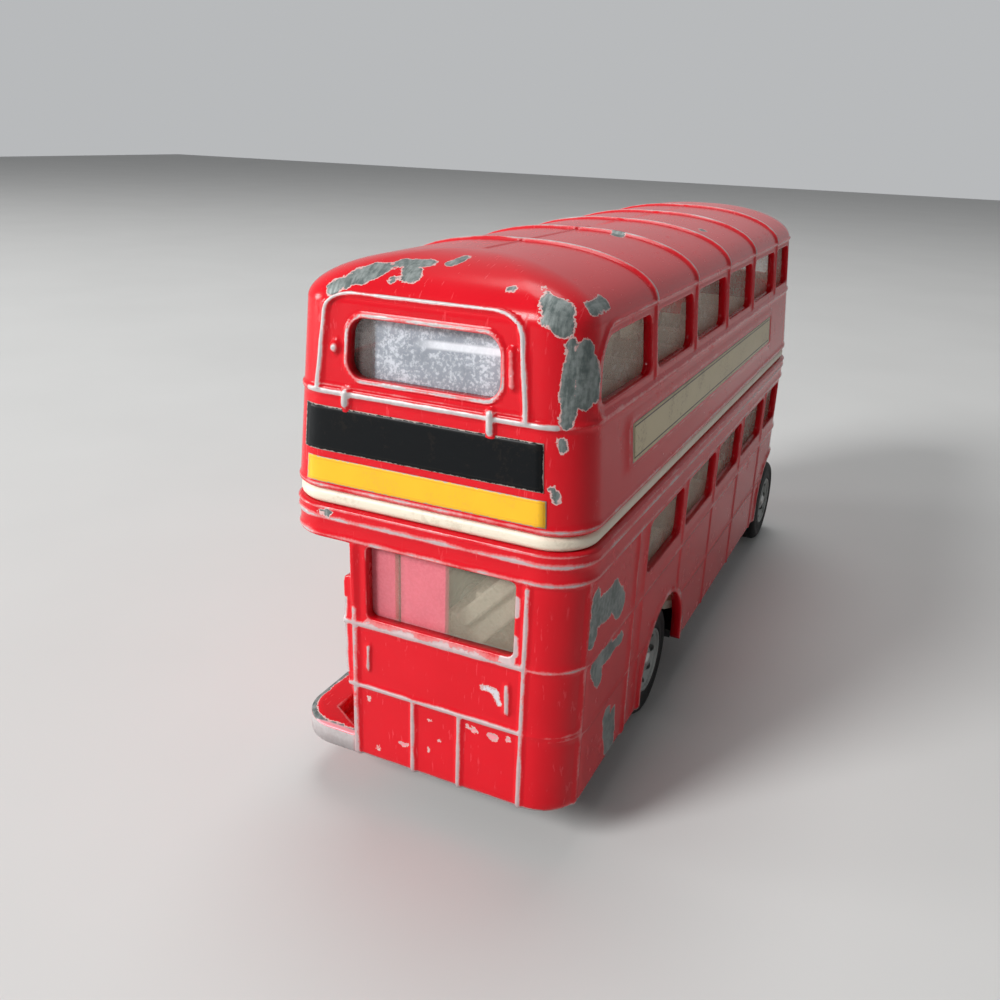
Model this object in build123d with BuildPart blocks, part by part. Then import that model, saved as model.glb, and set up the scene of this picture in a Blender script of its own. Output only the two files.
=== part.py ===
from build123d import *
import os

# Toy double decker bus: two zinc castings, cream seat mouldings, clear glazing, a plastic base
# and two wheel sets. Millimetres. +X is forward, +Y the platform side (nearside), +Z up.
# The origin is on the ground, at the middle of the length and width.
os.makedirs("parts", exist_ok=True)

# Overall size of the castings
length = 120.0
width = 36.8
wall = 1.1
rear_corner_r = 5.3
front_corner_r = 13.5
front_bulge = 2.5
bead = 0.35

# Heights above the ground
rear_skirt_z = 6.2
skirt_z = 7.1
platform_thick = 2.8
band_z = 16.2
sill_z = 24.4
low_window_z = (26.6, 33.6)
ledge_z = 34.7
rim_z = 38.3
rim_thick = 1.8
hinge_z = 51.4
up_window_z = (52.9, 59.5)
gutter_z = 60.7
roof_z = 66.05

# How far the upper deck leans in at the gutter, and the roof's curve from gutter to crown
lean_side = 1.7
lean_rear = 0.8
lean_front = 1.8
crown_half_w = 1.8
roof_run_rear = 11.0
roof_run_front = 12.0
roof_angles = (0, 32, 58, 78, 90)
# The leaning walls and the roof are lofted in flat strips, this many round each curve
curve_strips = 8

# Window bays: the pillars' centres along the body, and their width
pillar_w = 2.2
first_pillar = 23.2
bay_pitch = 17.65
last_pillar = 25.5
quarter_rear = 5.6
quarter_front = 13.0
quarter_r = 3.2
quarter_lean = 1.1
front_window_y = (1.0, 13.5)

# Rear end: the emergency door of the upper deck, its window and fittings
door_foot_w = 26.0
door_head_w = 24.4
door_y = 0.9
door_top_z = 62.2
door_corner_r = 3.0
door_bead_w = 0.8
rear_up_window = (16.6, 6.2)
rear_up_window_at = (0.2, 56.9)
rear_window_r = 1.6
window_rim_w = 1.0
hinge_y = (10.2, -8.05)
hinge_r = 0.6
hinge_h = 1.8
knob_at = (11.75, 56.3)
knob_r = 0.75
handle_at = (-10.65, 56.6)
handle_size = (3.2, 1.0)

# Rear end of the lower deck: its window, and the cast frame lines either side and below
rear_low_window = (18.0, 8.3)
rear_low_window_at = (-2.8, 30.15)
rear_line_y = (8.7, -12.6)
rear_short_line_y = (1.1, -5.0)
rear_bar_at = (7.0, 20.2)
rear_handle_at = (-11.1, 20.1)
rear_bar_size = (0.8, 3.0)
ledge_proud = 0.3

# Platform at the rear corner, open at the side and the back
platform_w = 8.4
platform_length = 19.4
platform_chamfer = 0.4
platform_line = 0.4
pit_size = (6.6, 4.0)
pit_at = (-53.3, 12.2)
pit_depth = 1.8
lobe_w = 1.0
lobe_z = (11.0, 30.8)
slot_at = -50.3
slot_w = 1.4
slot_z = (19.0, 33.6)

# Half cab: the cab stands on the -Y side, the bonnet and the wing on the +Y side
cab_length = 17.5
cab_side_y = 1.5
bonnet_z = 24.4
bonnet_w = 10.9
wing_gap = 0.3
cab_window_margin = 3.0
windscreen_y = (-13.0, -1.2)
bulkhead_window_y = (3.5, 15.5)

# Front: grille, lamps and the blank box for a destination
grille_w = 7.4
grille_z = (9.4, 22.4)
grille_r = 1.2
grille_frame = 0.7
grille_bars = 9
grille_bar_w = 0.3
lamp_r = 1.7
lamp_z = 14.0
lamp_y = (-12.0, 14.2)
sign_box = (19.0, 6.8)
sign_box_z = 46.6
sign_box_line = 0.8

# Wheels
axle_r = 1.0
axle_clear = 0.06
rear_overhang = 35.5
front_overhang = 11.6
tyre_r = 8.1
tyre_w = 5.0
tyre_shoulder = 0.9
hub_r = 4.6
hub_face = 0.5
hub_dish = 0.6
hub_holes = 8
hub_hole_r = 0.75
hub_hole_ring = 3.0
hub_hole_sides = 8
rear_wheel_inset = 1.4
front_wheel_proud = 0.2
arch_r = 9.3
arch_clear = 1.1
arch_lip = 0.7

# Base and glazing
base_thick = 1.2
base_lift = 0.2
seat = 0.05
glass = 0.8
glass_lap = 0.9
wheel_room = 1.0
boss_room = 0.8
boss_w = 2.6
boss_half = 2.6
axle_slot_half = 1.5
rivet_r = 1.7
rivet_h = 0.6
rivet_x = (-34.0, 36.5)

# Seats and stairs
floor_thick = 1.4
low_floor_lift = 3.4
cushion_h = 2.6
seat_depth = 4.2
back_h = 10.8
back_t = 1.1
seat_w = 11.0
aisle_w = 7.0
seat_pitch = 12.0
seat_setback = 4.0
upper_rows = 7
lower_rows = 4
stair_x = (-55.5, -47.0)
stair_well_side = 4.0
stair_steps = 7
stair_run = 3.1
stair_rise = 3.3
stair_string = 4.0
rail_beam = (13.0, 2.0)
rail_beam_at = (-7.1, 30.2)
rail_beam_t = 1.5

half_w = width / 2
rear_x = -length / 2
front_x = length / 2
axle_z = tyre_r
up_deck_z = rim_z + rim_thick
platform_wall_y = half_w - platform_w
platform_front_x = rear_x + platform_length
platform_z = rear_skirt_z + platform_thick
cab_back_x = front_x - cab_length
bonnet_side_y = cab_side_y + bonnet_w
rear_axle_x = rear_x + rear_overhang
front_axle_x = front_x - front_overhang
rear_track_half = half_w - rear_wheel_inset
front_track_half = half_w + front_wheel_proud
arch_z = axle_z + arch_clear
quarter_rear_x = rear_x + quarter_rear
quarter_front_x = front_x - quarter_front
pillar_x = [rear_x + first_pillar + bay_pitch * i for i in range(4)]
pillar_x.append(front_x - last_pillar)
low_floor_z = skirt_z + base_thick + low_floor_lift
base_z = skirt_z + base_lift


def outline(half, back, front, grow=0.0):
    """Plan of the body at one height: square back with round corners, a bowed front."""
    share = half / half_w
    side = half + grow
    nose = front + grow
    tail = back - grow
    shoulder = nose - front_bulge * share
    with BuildSketch(mode=Mode.PRIVATE) as plan:
        with BuildLine():
            Polyline((shoulder, side), (tail, side), (tail, -side), (shoulder, -side))
            ThreePointArc((shoulder, -side), (nose, 0), (shoulder, side))
        make_face()
        fillet(plan.vertices().sort_by(Axis.X)[:2], rear_corner_r * share + grow)
        fillet(plan.vertices().sort_by(Axis.X)[-2:], front_corner_r * share + grow)
    return plan.sketch


def plan_corners(half, back, front, grow=0.0):
    """Corner points of the plan, its curves cut into short straight runs, then moved outward."""
    points = []
    for edge in outline(half, back, front).face().outer_wire().order_edges():
        runs = 1 if edge.geom_type == GeomType.LINE else curve_strips
        points += [edge @ (i / runs) for i in range(runs)]
    moved = []
    for i, point in enumerate(points):
        into = (point - points[i - 1]).normalized().rotate(Axis.Z, -90)
        out_of = (points[(i + 1) % len(points)] - point).normalized().rotate(Axis.Z, -90)
        moved.append(point + (into + out_of) * (grow / (1 + into.dot(out_of))))
    return moved


def flat_strips(sections):
    """Solid of flat strips between sections; each section is a height and its corner points."""
    rings = [[Vector(point.X, point.Y, z) for point in points] for z, points in sections]
    flats = [Face(Wire.make_polygon(rings[0])), Face(Wire.make_polygon(rings[-1]))]
    for low, high in zip(rings, rings[1:]):
        for i in range(len(low)):
            flats.append(Face(Wire.make_polygon((low[i - 1], low[i], high[i], high[i - 1]))))
    return Solid(Shell(flats))


def lower_skin(grow, z_from, z_to):
    """Straight-sided solid of the lower body's plan, grown or shrunk all round."""
    with BuildPart(mode=Mode.PRIVATE) as skin:
        with BuildSketch(Plane.XY.offset(z_from)):
            add(outline(half_w, rear_x, front_x, grow))
        extrude(amount=z_to - z_from)
    return skin.part


def upper_walls(grow, z_from, z_to):
    """Leaning walls of the upper deck as a solid between two heights."""
    sections = []
    for z in (z_from, z_to):
        lean = (z - up_deck_z) / (gutter_z - up_deck_z)
        sections.append((z, plan_corners(half_w - lean_side * lean, rear_x + lean_rear * lean,
                                         front_x - lean_front * lean, grow)))
    return flat_strips(sections)


def roof_section(grow):
    """Half widths and heights of the roof's curve, from the gutter to the crown."""
    eave = half_w - lean_side + grow
    crown = crown_half_w * eave / (half_w - lean_side)
    rise = roof_z - gutter_z + grow
    levels = []
    for angle in roof_angles:
        inward = 1 - Vector(1, 0, 0).rotate(Axis.Z, angle).X
        up = Vector(1, 0, 0).rotate(Axis.Z, angle).Y
        levels.append((eave - (eave - crown) * inward, gutter_z + rise * up, inward))
    return levels


def roof(grow):
    """Domed roof above the gutter."""
    sections = []
    for half, z, inward in roof_section(grow):
        sections.append((z, plan_corners(half, rear_x + lean_rear + roof_run_rear * inward - grow,
                                         front_x - lean_front - roof_run_front * inward + grow)))
    return flat_strips(sections)


def roof_rib(x):
    """Thin hoop over the roof at a pillar."""
    half_section = [(half, z) for half, z, inward in roof_section(bead)]
    other_half = [(-half, z) for half, z in reversed(half_section)]
    with BuildPart(mode=Mode.PRIVATE) as hoop:
        with BuildSketch(Plane.YZ.offset(x - bead)):
            with BuildLine():
                Polyline(*half_section, *other_half, close=True)
            make_face()
        extrude(amount=2 * bead)
    return hoop.part


def block(x_range, y_range, z_range):
    """Plain box between three pairs of limits."""
    centre = [(low + high) / 2 for low, high in (x_range, y_range, z_range)]
    return Pos(*centre) * Box(x_range[1] - x_range[0], y_range[1] - y_range[0],
                              z_range[1] - z_range[0], mode=Mode.PRIVATE)


def across(x_from, x_to):
    """Box as wide and high as the whole toy between two stations."""
    return block((x_from, x_to), (-half_w - 1, half_w + 1), (0, roof_z + 2))


# Bays between the pillars, and the quarter windows at the two ends of the upper deck
bays = []
for i in range(len(pillar_x) - 1):
    bays.append((pillar_x[i] + pillar_w / 2, pillar_x[i + 1] - pillar_w / 2))
upper_bays = bays + [(pillar_x[-1] + pillar_w / 2, quarter_front_x)]

# Fittings of the emergency door, drawn on the back: frame, window rim, knob and handle
with BuildPart(mode=Mode.PRIVATE) as door_lines:
    with BuildSketch(Plane.YZ.offset(rear_x - 1)) as door:
        with BuildLine():
            Polyline((door_y + door_foot_w / 2, hinge_z), (door_y - door_foot_w / 2, hinge_z),
                     (door_y - door_head_w / 2, door_top_z),
                     (door_y + door_head_w / 2, door_top_z), close=True)
        make_face()
        fillet(door.vertices().sort_by(Axis.Z)[-2:], door_corner_r)
        offset(amount=-door_bead_w, mode=Mode.SUBTRACT)
        with Locations(rear_up_window_at):
            RectangleRounded(rear_up_window[0] + 2 * window_rim_w,
                             rear_up_window[1] + 2 * window_rim_w, rear_window_r + window_rim_w)
        with Locations(knob_at):
            Circle(knob_r)
        with Locations(handle_at):
            SlotOverall(*handle_size, rotation=90)
    extrude(amount=8)

# Gutter along the sides, which turns down behind the rear quarter window
gutter_turn_x = quarter_rear_x + 6.0
with BuildPart(mode=Mode.PRIVATE) as gutter:
    with BuildSketch(Plane.XZ.offset(-half_w - 1)):
        with BuildLine() as gutter_line:
            Spline((gutter_turn_x, gutter_z), (quarter_rear_x + 2.0, gutter_z - 0.9),
                   (quarter_rear_x - 0.4, gutter_z - 3.8), (quarter_rear_x - 1.5, hinge_z),
                   tangents=((-1, 0), (0, -1)))
        trace(line_width=2 * bead)
    extrude(amount=width + 2)

# Upper casting
with BuildPart() as upper_body:
    add([upper_walls(0, up_deck_z, hinge_z - bead), upper_walls(0, hinge_z + bead, gutter_z),
         upper_walls(bead, hinge_z - bead, hinge_z + bead), roof(0),
         upper_walls(bead, gutter_z - bead, gutter_z) & across(gutter_turn_x, front_x + 1)]
        + [roof_rib(x) for x in pillar_x])
    upper_lines = gutter.part + door_lines.part
    add([upper_lines & upper_walls(bead, hinge_z, gutter_z), door_lines.part & roof(bead)])
    # Hinge barrels at the foot of the door
    hinge_x = rear_x + lean_rear * (hinge_z - up_deck_z) / (gutter_z - up_deck_z)
    with Locations(*[(hinge_x, y, hinge_z) for y in hinge_y]):
        Cylinder(hinge_r, hinge_h)
    # Blank box for a destination on the front
    with BuildPart(mode=Mode.PRIVATE) as sign_frame:
        with BuildSketch(Plane.YZ.offset(front_x - 10)):
            with Locations((0, sign_box_z)):
                Rectangle(*sign_box)
                Rectangle(sign_box[0] - 2 * sign_box_line, sign_box[1] - 2 * sign_box_line,
                          mode=Mode.SUBTRACT)
        extrude(amount=12)
    add(sign_frame.part & upper_walls(bead, up_deck_z, hinge_z))
    # Hollow inside
    add([upper_walls(-wall, up_deck_z, gutter_z), roof(-wall)], mode=Mode.SUBTRACT)
    # Side windows, and the rear quarter window with its leaning, rounded back edge
    add([block(bay, (-half_w - 1, half_w + 1), up_window_z) for bay in upper_bays],
        mode=Mode.SUBTRACT)
    with BuildSketch(Plane.XZ.offset(-half_w - 1)) as quarter:
        with BuildLine():
            Polyline((pillar_x[0] - pillar_w / 2, up_window_z[0]),
                     (quarter_rear_x, up_window_z[0]),
                     (quarter_rear_x + quarter_lean, up_window_z[1]),
                     (pillar_x[0] - pillar_w / 2, up_window_z[1]), close=True)
        make_face()
        fillet(quarter.vertices().group_by(Axis.Z)[-1].sort_by(Axis.X)[0], quarter_r)
    extrude(amount=width + 2, mode=Mode.SUBTRACT)
    # Rear window in the emergency door
    with BuildSketch(Plane.YZ.offset(rear_x - 1)):
        with Locations(rear_up_window_at):
            RectangleRounded(*rear_up_window, rear_window_r)
    extrude(amount=6, mode=Mode.SUBTRACT)
    # Pair of front windows
    add([block((front_x - 13, front_x + 1), sorted((side * front_window_y[0],
                                                    side * front_window_y[1])), up_window_z)
         for side in (-1, 1)], mode=Mode.SUBTRACT)
upper_body.part.label = "upper_body"
export_step(upper_body.part, "parts/upper_body.step")

# Stilted wheel arches: half circles with straight sides below, drawn on a side plane
with BuildSketch(Plane.XZ.offset(-half_w - 1), mode=Mode.PRIVATE) as arches:
    for x in (rear_axle_x, front_axle_x):
        with Locations((x, arch_z)):
            Circle(arch_r)
        with Locations((x, arch_z / 2)):
            Rectangle(2 * arch_r, arch_z)
with BuildSketch(Plane.XZ.offset(-half_w - 1), mode=Mode.PRIVATE) as arch_rims:
    add(arches.sketch)
    offset(amount=arch_lip)

# Raised lines of the lower casting: panel lines, the frame lines of the back, the lamps
grille_y = (cab_side_y + bonnet_side_y) / 2
with BuildPart(mode=Mode.PRIVATE) as low_lines:
    for z in (band_z, sill_z):
        add(block((rear_x - 1, front_x + 1), (-half_w - 1, half_w + 1), (z - bead, z + bead)))
    for y in rear_line_y:
        add(block((rear_x - 1, rear_x + 1), (y - bead, y + bead), (rear_skirt_z, ledge_z)))
    for y in rear_short_line_y:
        add(block((rear_x - 1, rear_x + 1), (y - bead, y + bead), (rear_skirt_z, band_z)))
    with BuildSketch(Plane.YZ.offset(rear_x - 1)):
        with Locations(rear_bar_at, rear_handle_at):
            Rectangle(*rear_bar_size)
    extrude(amount=4)
    with BuildSketch(Plane.YZ.offset(front_x - 10)):
        with Locations((lamp_y[0], lamp_z), (lamp_y[1], lamp_z)):
            Circle(lamp_r)
    extrude(amount=12)
    add(across(platform_front_x - bead, platform_front_x + bead))
    extrude(arch_rims.sketch, amount=width + 2)
    # The grille is a piece of its own, and no raised line passes under it
    add(block((front_x - 3, front_x + 1), (grille_y - grille_w / 2, grille_y + grille_w / 2),
              grille_z), mode=Mode.SUBTRACT)

# Lower casting
with BuildPart() as lower_body:
    add(lower_skin(0, skirt_z, rim_z))
    add(lower_skin(0, rear_skirt_z, skirt_z) & across(rear_x - 1, rear_axle_x))
    add(low_lines.part & lower_skin(bead, skirt_z, ledge_z))
    add(low_lines.part & lower_skin(bead, rear_skirt_z, skirt_z) & across(rear_x - 1, rear_axle_x))
    add(lower_skin(ledge_proud, ledge_z, rim_z))
    add(lower_skin(-wall, rear_skirt_z - 1, rim_z), mode=Mode.SUBTRACT)
    # Wheel arches through both sides
    extrude(arches.sketch, amount=width + 2, mode=Mode.SUBTRACT)
    # Side windows of the lower saloon, the cab's windows and the rear window
    add([block(bay, (-half_w - 1, half_w + 1), low_window_z) for bay in bays]
        + [block((pillar_x[-1] + pillar_w / 2, quarter_front_x), (-half_w - 1, 0), low_window_z),
           block((front_x - 13, front_x + 1), windscreen_y, low_window_z)], mode=Mode.SUBTRACT)
    with BuildSketch(Plane.YZ.offset(rear_x - 1)):
        with Locations(rear_low_window_at):
            RectangleRounded(*rear_low_window, rear_window_r)
    extrude(amount=4, mode=Mode.SUBTRACT)
    # The platform's corner is open from its floor to the ledge
    add(block((rear_x - 1, platform_front_x), (platform_wall_y, half_w + 1),
              (rear_skirt_z - 1, ledge_z - bead)), mode=Mode.SUBTRACT)
    # Half cab: the space over the bonnet is open, and the wing falls away beside the bonnet
    add(block((cab_back_x, front_x + 1), (cab_side_y, half_w + 1), (bonnet_z, ledge_z - bead)),
        mode=Mode.SUBTRACT)
    with BuildSketch(Plane.XZ.offset(-half_w - 1)):
        with Locations(((cab_back_x + front_x) / 2, (arch_z + bonnet_z) / 2)):
            Rectangle(cab_length, bonnet_z - arch_z)
        with Locations((front_axle_x, arch_z)):
            Circle(arch_r + wall + wing_gap, mode=Mode.SUBTRACT)
    extrude(amount=half_w + 1 - bonnet_side_y, mode=Mode.SUBTRACT)
    inner = lower_skin(-wall / 2, rear_skirt_z, rim_z)
    with BuildPart(mode=Mode.PRIVATE) as wing:
        with BuildSketch(Plane.XZ.offset(-half_w)):
            with Locations((front_axle_x, arch_z)):
                Circle(arch_r + wall + wing_gap)
                Circle(arch_r, mode=Mode.SUBTRACT)
            with Locations((front_axle_x, arch_z - arch_r)):
                Rectangle(4 * arch_r, 2 * arch_r, mode=Mode.SUBTRACT)
        extrude(amount=half_w - bonnet_side_y + wall)
    add(wing.part & inner & across(cab_back_x, front_x))
    wing_top_z = arch_z + arch_r
    add(block((cab_back_x, front_x), (bonnet_side_y - wall, bonnet_side_y), (wing_top_z, bonnet_z))
        & inner)
    # Platform floor with its pit, the wall beside the stairs with its slot, the saloon's end
    with BuildPart(mode=Mode.PRIVATE) as platform:
        add(block((rear_x, platform_front_x + wall), (platform_wall_y - wall, half_w),
                  (rear_skirt_z, platform_z)) & lower_skin(0, rear_skirt_z, rim_z))
        chamfer(platform.faces().sort_by(Axis.Z)[-1].edges(), platform_chamfer)
        with Locations((pit_at[0], pit_at[1], platform_z)):
            Box(*pit_size, 2 * pit_depth, mode=Mode.SUBTRACT)
    add(platform.part)
    add(block((rear_x + wall / 2, platform_front_x + wall),
              (platform_wall_y - wall, platform_wall_y), (rear_skirt_z, ledge_z)))
    add(block((slot_at - slot_w / 2, slot_at + slot_w / 2),
              (platform_wall_y - wall - 1, platform_wall_y + 1), slot_z), mode=Mode.SUBTRACT)
    add(block((platform_front_x, platform_front_x + wall),
              (platform_wall_y - wall, half_w - wall / 2), (rear_skirt_z, ledge_z)) & inner)
    # Rounded edge of the back panel that stands out over the platform
    with BuildPart(mode=Mode.PRIVATE) as lobe:
        with BuildSketch(Plane.YZ.offset(rear_x)):
            with Locations((platform_wall_y, sum(lobe_z) / 2)):
                RectangleRounded(2 * lobe_w, lobe_z[1] - lobe_z[0], 0.9 * lobe_w)
        extrude(amount=wall)
    add(lobe.part)
    # Top of the bonnet, the cab's inner side and the bulkhead behind the bonnet
    add(block((cab_back_x, front_x), (cab_side_y - wall, bonnet_side_y),
              (bonnet_z - wall, bonnet_z)) & inner)
    with BuildPart(mode=Mode.PRIVATE) as cab_side:
        add(block((cab_back_x, front_x), (cab_side_y - wall, cab_side_y),
                  (bonnet_z - wall, ledge_z)) & inner)
        add(block((cab_back_x + cab_window_margin, front_x - cab_window_margin),
                  (cab_side_y - wall - 1, cab_side_y + 1), low_window_z), mode=Mode.SUBTRACT)
    add(cab_side.part)
    with BuildPart(mode=Mode.PRIVATE) as bulkhead:
        add(block((cab_back_x, cab_back_x + wall), (cab_side_y - wall, half_w),
                  (wing_top_z - wall, ledge_z)) & inner)
        add(block((cab_back_x - 1, cab_back_x + wall + 1), bulkhead_window_y, low_window_z),
            mode=Mode.SUBTRACT)
    add(bulkhead.part)
    # Ceilings over the platform and over the bonnet
    add(block((rear_x, platform_front_x + wall), (platform_wall_y - wall, half_w),
              (ledge_z - bead, ledge_z + wall)) & inner)
    add(block((cab_back_x, front_x), (cab_side_y - wall, half_w), (ledge_z - bead, ledge_z + wall))
        & inner)
lower_body.part.label = "lower_body"
export_step(lower_body.part, "parts/lower_body.step")


def seat_row(x, floor_z, back_top):
    """Bench on each side of the aisle: an L-shaped profile drawn out to the bench's width."""
    with BuildPart(mode=Mode.PRIVATE) as row:
        for side in (-1, 1):
            y = side * (aisle_w / 2 + (seat_w if side > 0 else 0))
            with BuildSketch(Plane.XZ.offset(-y)):
                with BuildLine():
                    Polyline((x - seat_depth / 2 - back_t, floor_z),
                             (x + seat_depth / 2, floor_z),
                             (x + seat_depth / 2, floor_z + cushion_h),
                             (x - seat_depth / 2, floor_z + cushion_h),
                             (x - seat_depth / 2, floor_z + back_top),
                             (x - seat_depth / 2 - back_t, floor_z + back_top), close=True)
                make_face()
            extrude(amount=seat_w)
    return row.part


# Upper deck moulding: cream floor whose rim shows between the castings, with its seats
stair_y = platform_wall_y - wall - seat
stair_top_y = stair_y - stair_steps * stair_run
with BuildPart() as upper_deck:
    add(lower_skin(0, rim_z, up_deck_z))
    # Stair well over the top of the stairs
    add(block(stair_x, (stair_top_y - stair_run / 2, stair_well_side), (rim_z - 1, up_deck_z + 1)),
        mode=Mode.SUBTRACT)
    for i in range(upper_rows):
        add(seat_row(pillar_x[0] + seat_setback + i * seat_pitch, up_deck_z, back_h))
upper_deck.part.label = "upper_deck_moulding"
export_step(upper_deck.part, "parts/upper_deck_moulding.step")

# Lower deck moulding: cream floor, seats, and the stairs that rise across the back
with BuildPart() as lower_deck:
    add(lower_skin(-wall - seat, low_floor_z, low_floor_z + floor_thick)
        & block((rear_x, pillar_x[-1]), (-half_w, half_w), (0, roof_z)))
    add(block((rear_x, platform_front_x + wall + seat), (stair_y, half_w), (0, roof_z)),
        mode=Mode.SUBTRACT)
    for side in (-1, 1):
        y_wheel = sorted((side * (rear_track_half - tyre_w - wheel_room), side * half_w))
        add(block((rear_axle_x - arch_r, rear_axle_x + arch_r), y_wheel, (0, roof_z)),
            mode=Mode.SUBTRACT)
    for i in range(lower_rows):
        add(seat_row(rear_axle_x + arch_r + seat_setback + i * seat_pitch,
                     low_floor_z + floor_thick, back_h))
    # Stairs: a saw-toothed string, closed below by a straight slope, and a sloping handrail
    with BuildSketch(Plane.YZ.offset(stair_x[0])):
        with BuildLine():
            tread_z = low_floor_z + floor_thick
            teeth = [(stair_y, tread_z - floor_thick / 2)]
            for i in range(stair_steps):
                teeth.append((stair_y - i * stair_run, tread_z + (i + 1) * stair_rise))
                teeth.append((stair_y - (i + 1) * stair_run, tread_z + (i + 1) * stair_rise))
            teeth.append((stair_top_y, tread_z + stair_steps * stair_rise - stair_string))
            teeth.append((stair_y - stair_string, tread_z - floor_thick / 2))
            Polyline(*teeth, close=True)
        make_face()
    extrude(amount=stair_x[1] - stair_x[0])
    stair_slope = Vector(stair_run, stair_rise).get_angle(Vector(1, 0))
    with BuildSketch(Plane.YZ.offset(stair_x[0] - rail_beam_t / 2)):
        with Locations(rail_beam_at):
            SlotOverall(*rail_beam, rotation=-stair_slope)
    extrude(amount=rail_beam_t)
lower_deck.part.label = "lower_deck_moulding"
export_step(lower_deck.part, "parts/lower_deck_moulding.step")

# Clear glazing: one closed band of clear plastic inside each casting
with BuildPart() as upper_glazing:
    add(upper_walls(-wall - seat, up_window_z[0] - glass_lap, up_window_z[1] + glass_lap))
    add(upper_walls(-wall - seat - glass, up_window_z[0] - glass_lap, up_window_z[1] + glass_lap),
        mode=Mode.SUBTRACT)
upper_glazing.part.label = "upper_glazing"
export_step(upper_glazing.part, "parts/upper_glazing.step")

with BuildPart() as lower_glazing:
    add(lower_skin(-wall - seat, low_window_z[0] - glass_lap, low_window_z[1] + glass_lap))
    add(lower_skin(-wall - seat - glass, low_window_z[0] - glass_lap, low_window_z[1] + glass_lap),
        mode=Mode.SUBTRACT)
    add(block((rear_x, platform_front_x + wall + seat), (platform_wall_y - wall - seat, half_w),
              (0, roof_z)), mode=Mode.SUBTRACT)
    add(block((cab_back_x - seat, front_x), (cab_side_y - wall - seat, half_w), (0, roof_z)),
        mode=Mode.SUBTRACT)
lower_glazing.part.label = "lower_glazing"
export_step(lower_glazing.part, "parts/lower_glazing.step")

# Base: black plastic plate with two rivet heads, wheel openings and two bearings for each axle
with BuildPart() as base_plate:
    add(lower_skin(-wall - seat, base_z, base_z + base_thick))
    add(block((rear_x, platform_front_x + wall + seat), (platform_wall_y - wall - seat, half_w),
              (0, roof_z)), mode=Mode.SUBTRACT)
    for x in rivet_x:
        with Locations((x, 0, base_z - rivet_h / 2)):
            Cylinder(rivet_r, rivet_h)
    for x, track in ((rear_axle_x, rear_track_half), (front_axle_x, front_track_half)):
        y_inner = track - tyre_w - boss_room
        for side in (-1, 1):
            add(block((x - tyre_r - wheel_room, x + tyre_r + wheel_room),
                      sorted((side * y_inner, side * (half_w + 1))),
                      (0, base_z + base_thick + 1)), mode=Mode.SUBTRACT)
            add(block((x - boss_half, x + boss_half),
                      sorted((side * y_inner, side * (y_inner - boss_w))),
                      (base_z, axle_z + boss_half)))
        add(block((x - axle_slot_half, x + axle_slot_half), (boss_w - y_inner, y_inner - boss_w),
                  (0, base_z + base_thick + 1)), mode=Mode.SUBTRACT)
        with BuildSketch(Plane.XZ.offset(-half_w)):
            with Locations((x, axle_z)):
                Circle(axle_r + axle_clear)
        extrude(amount=width, mode=Mode.SUBTRACT)
base_plate.part.label = "base_plate"
export_step(base_plate.part, "parts/base_plate.step")

# Radiator grille: a plated frame with upright bars, which follows the bowed front
with BuildPart() as grille:
    with BuildSketch(Plane.YZ.offset(front_x - 3)):
        with Locations((grille_y, sum(grille_z) / 2)):
            RectangleRounded(grille_w, grille_z[1] - grille_z[0], grille_r)
            Rectangle(grille_w - 2 * grille_frame, grille_z[1] - grille_z[0] - 2 * grille_frame,
                      mode=Mode.SUBTRACT)
        bar_pitch = (grille_w - 2 * grille_frame) / (grille_bars + 1)
        with Locations((grille_y, sum(grille_z) / 2)):
            with GridLocations(bar_pitch, 0, grille_bars, 1):
                Rectangle(grille_bar_w, grille_z[1] - grille_z[0] - grille_frame)
    extrude(amount=4)
    add(lower_skin(bead, skirt_z, rim_z), mode=Mode.INTERSECT)
    add(lower_skin(0, skirt_z, rim_z), mode=Mode.SUBTRACT)
grille.part.label = "radiator_grille"
export_step(grille.part, "parts/radiator_grille.step")

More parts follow.
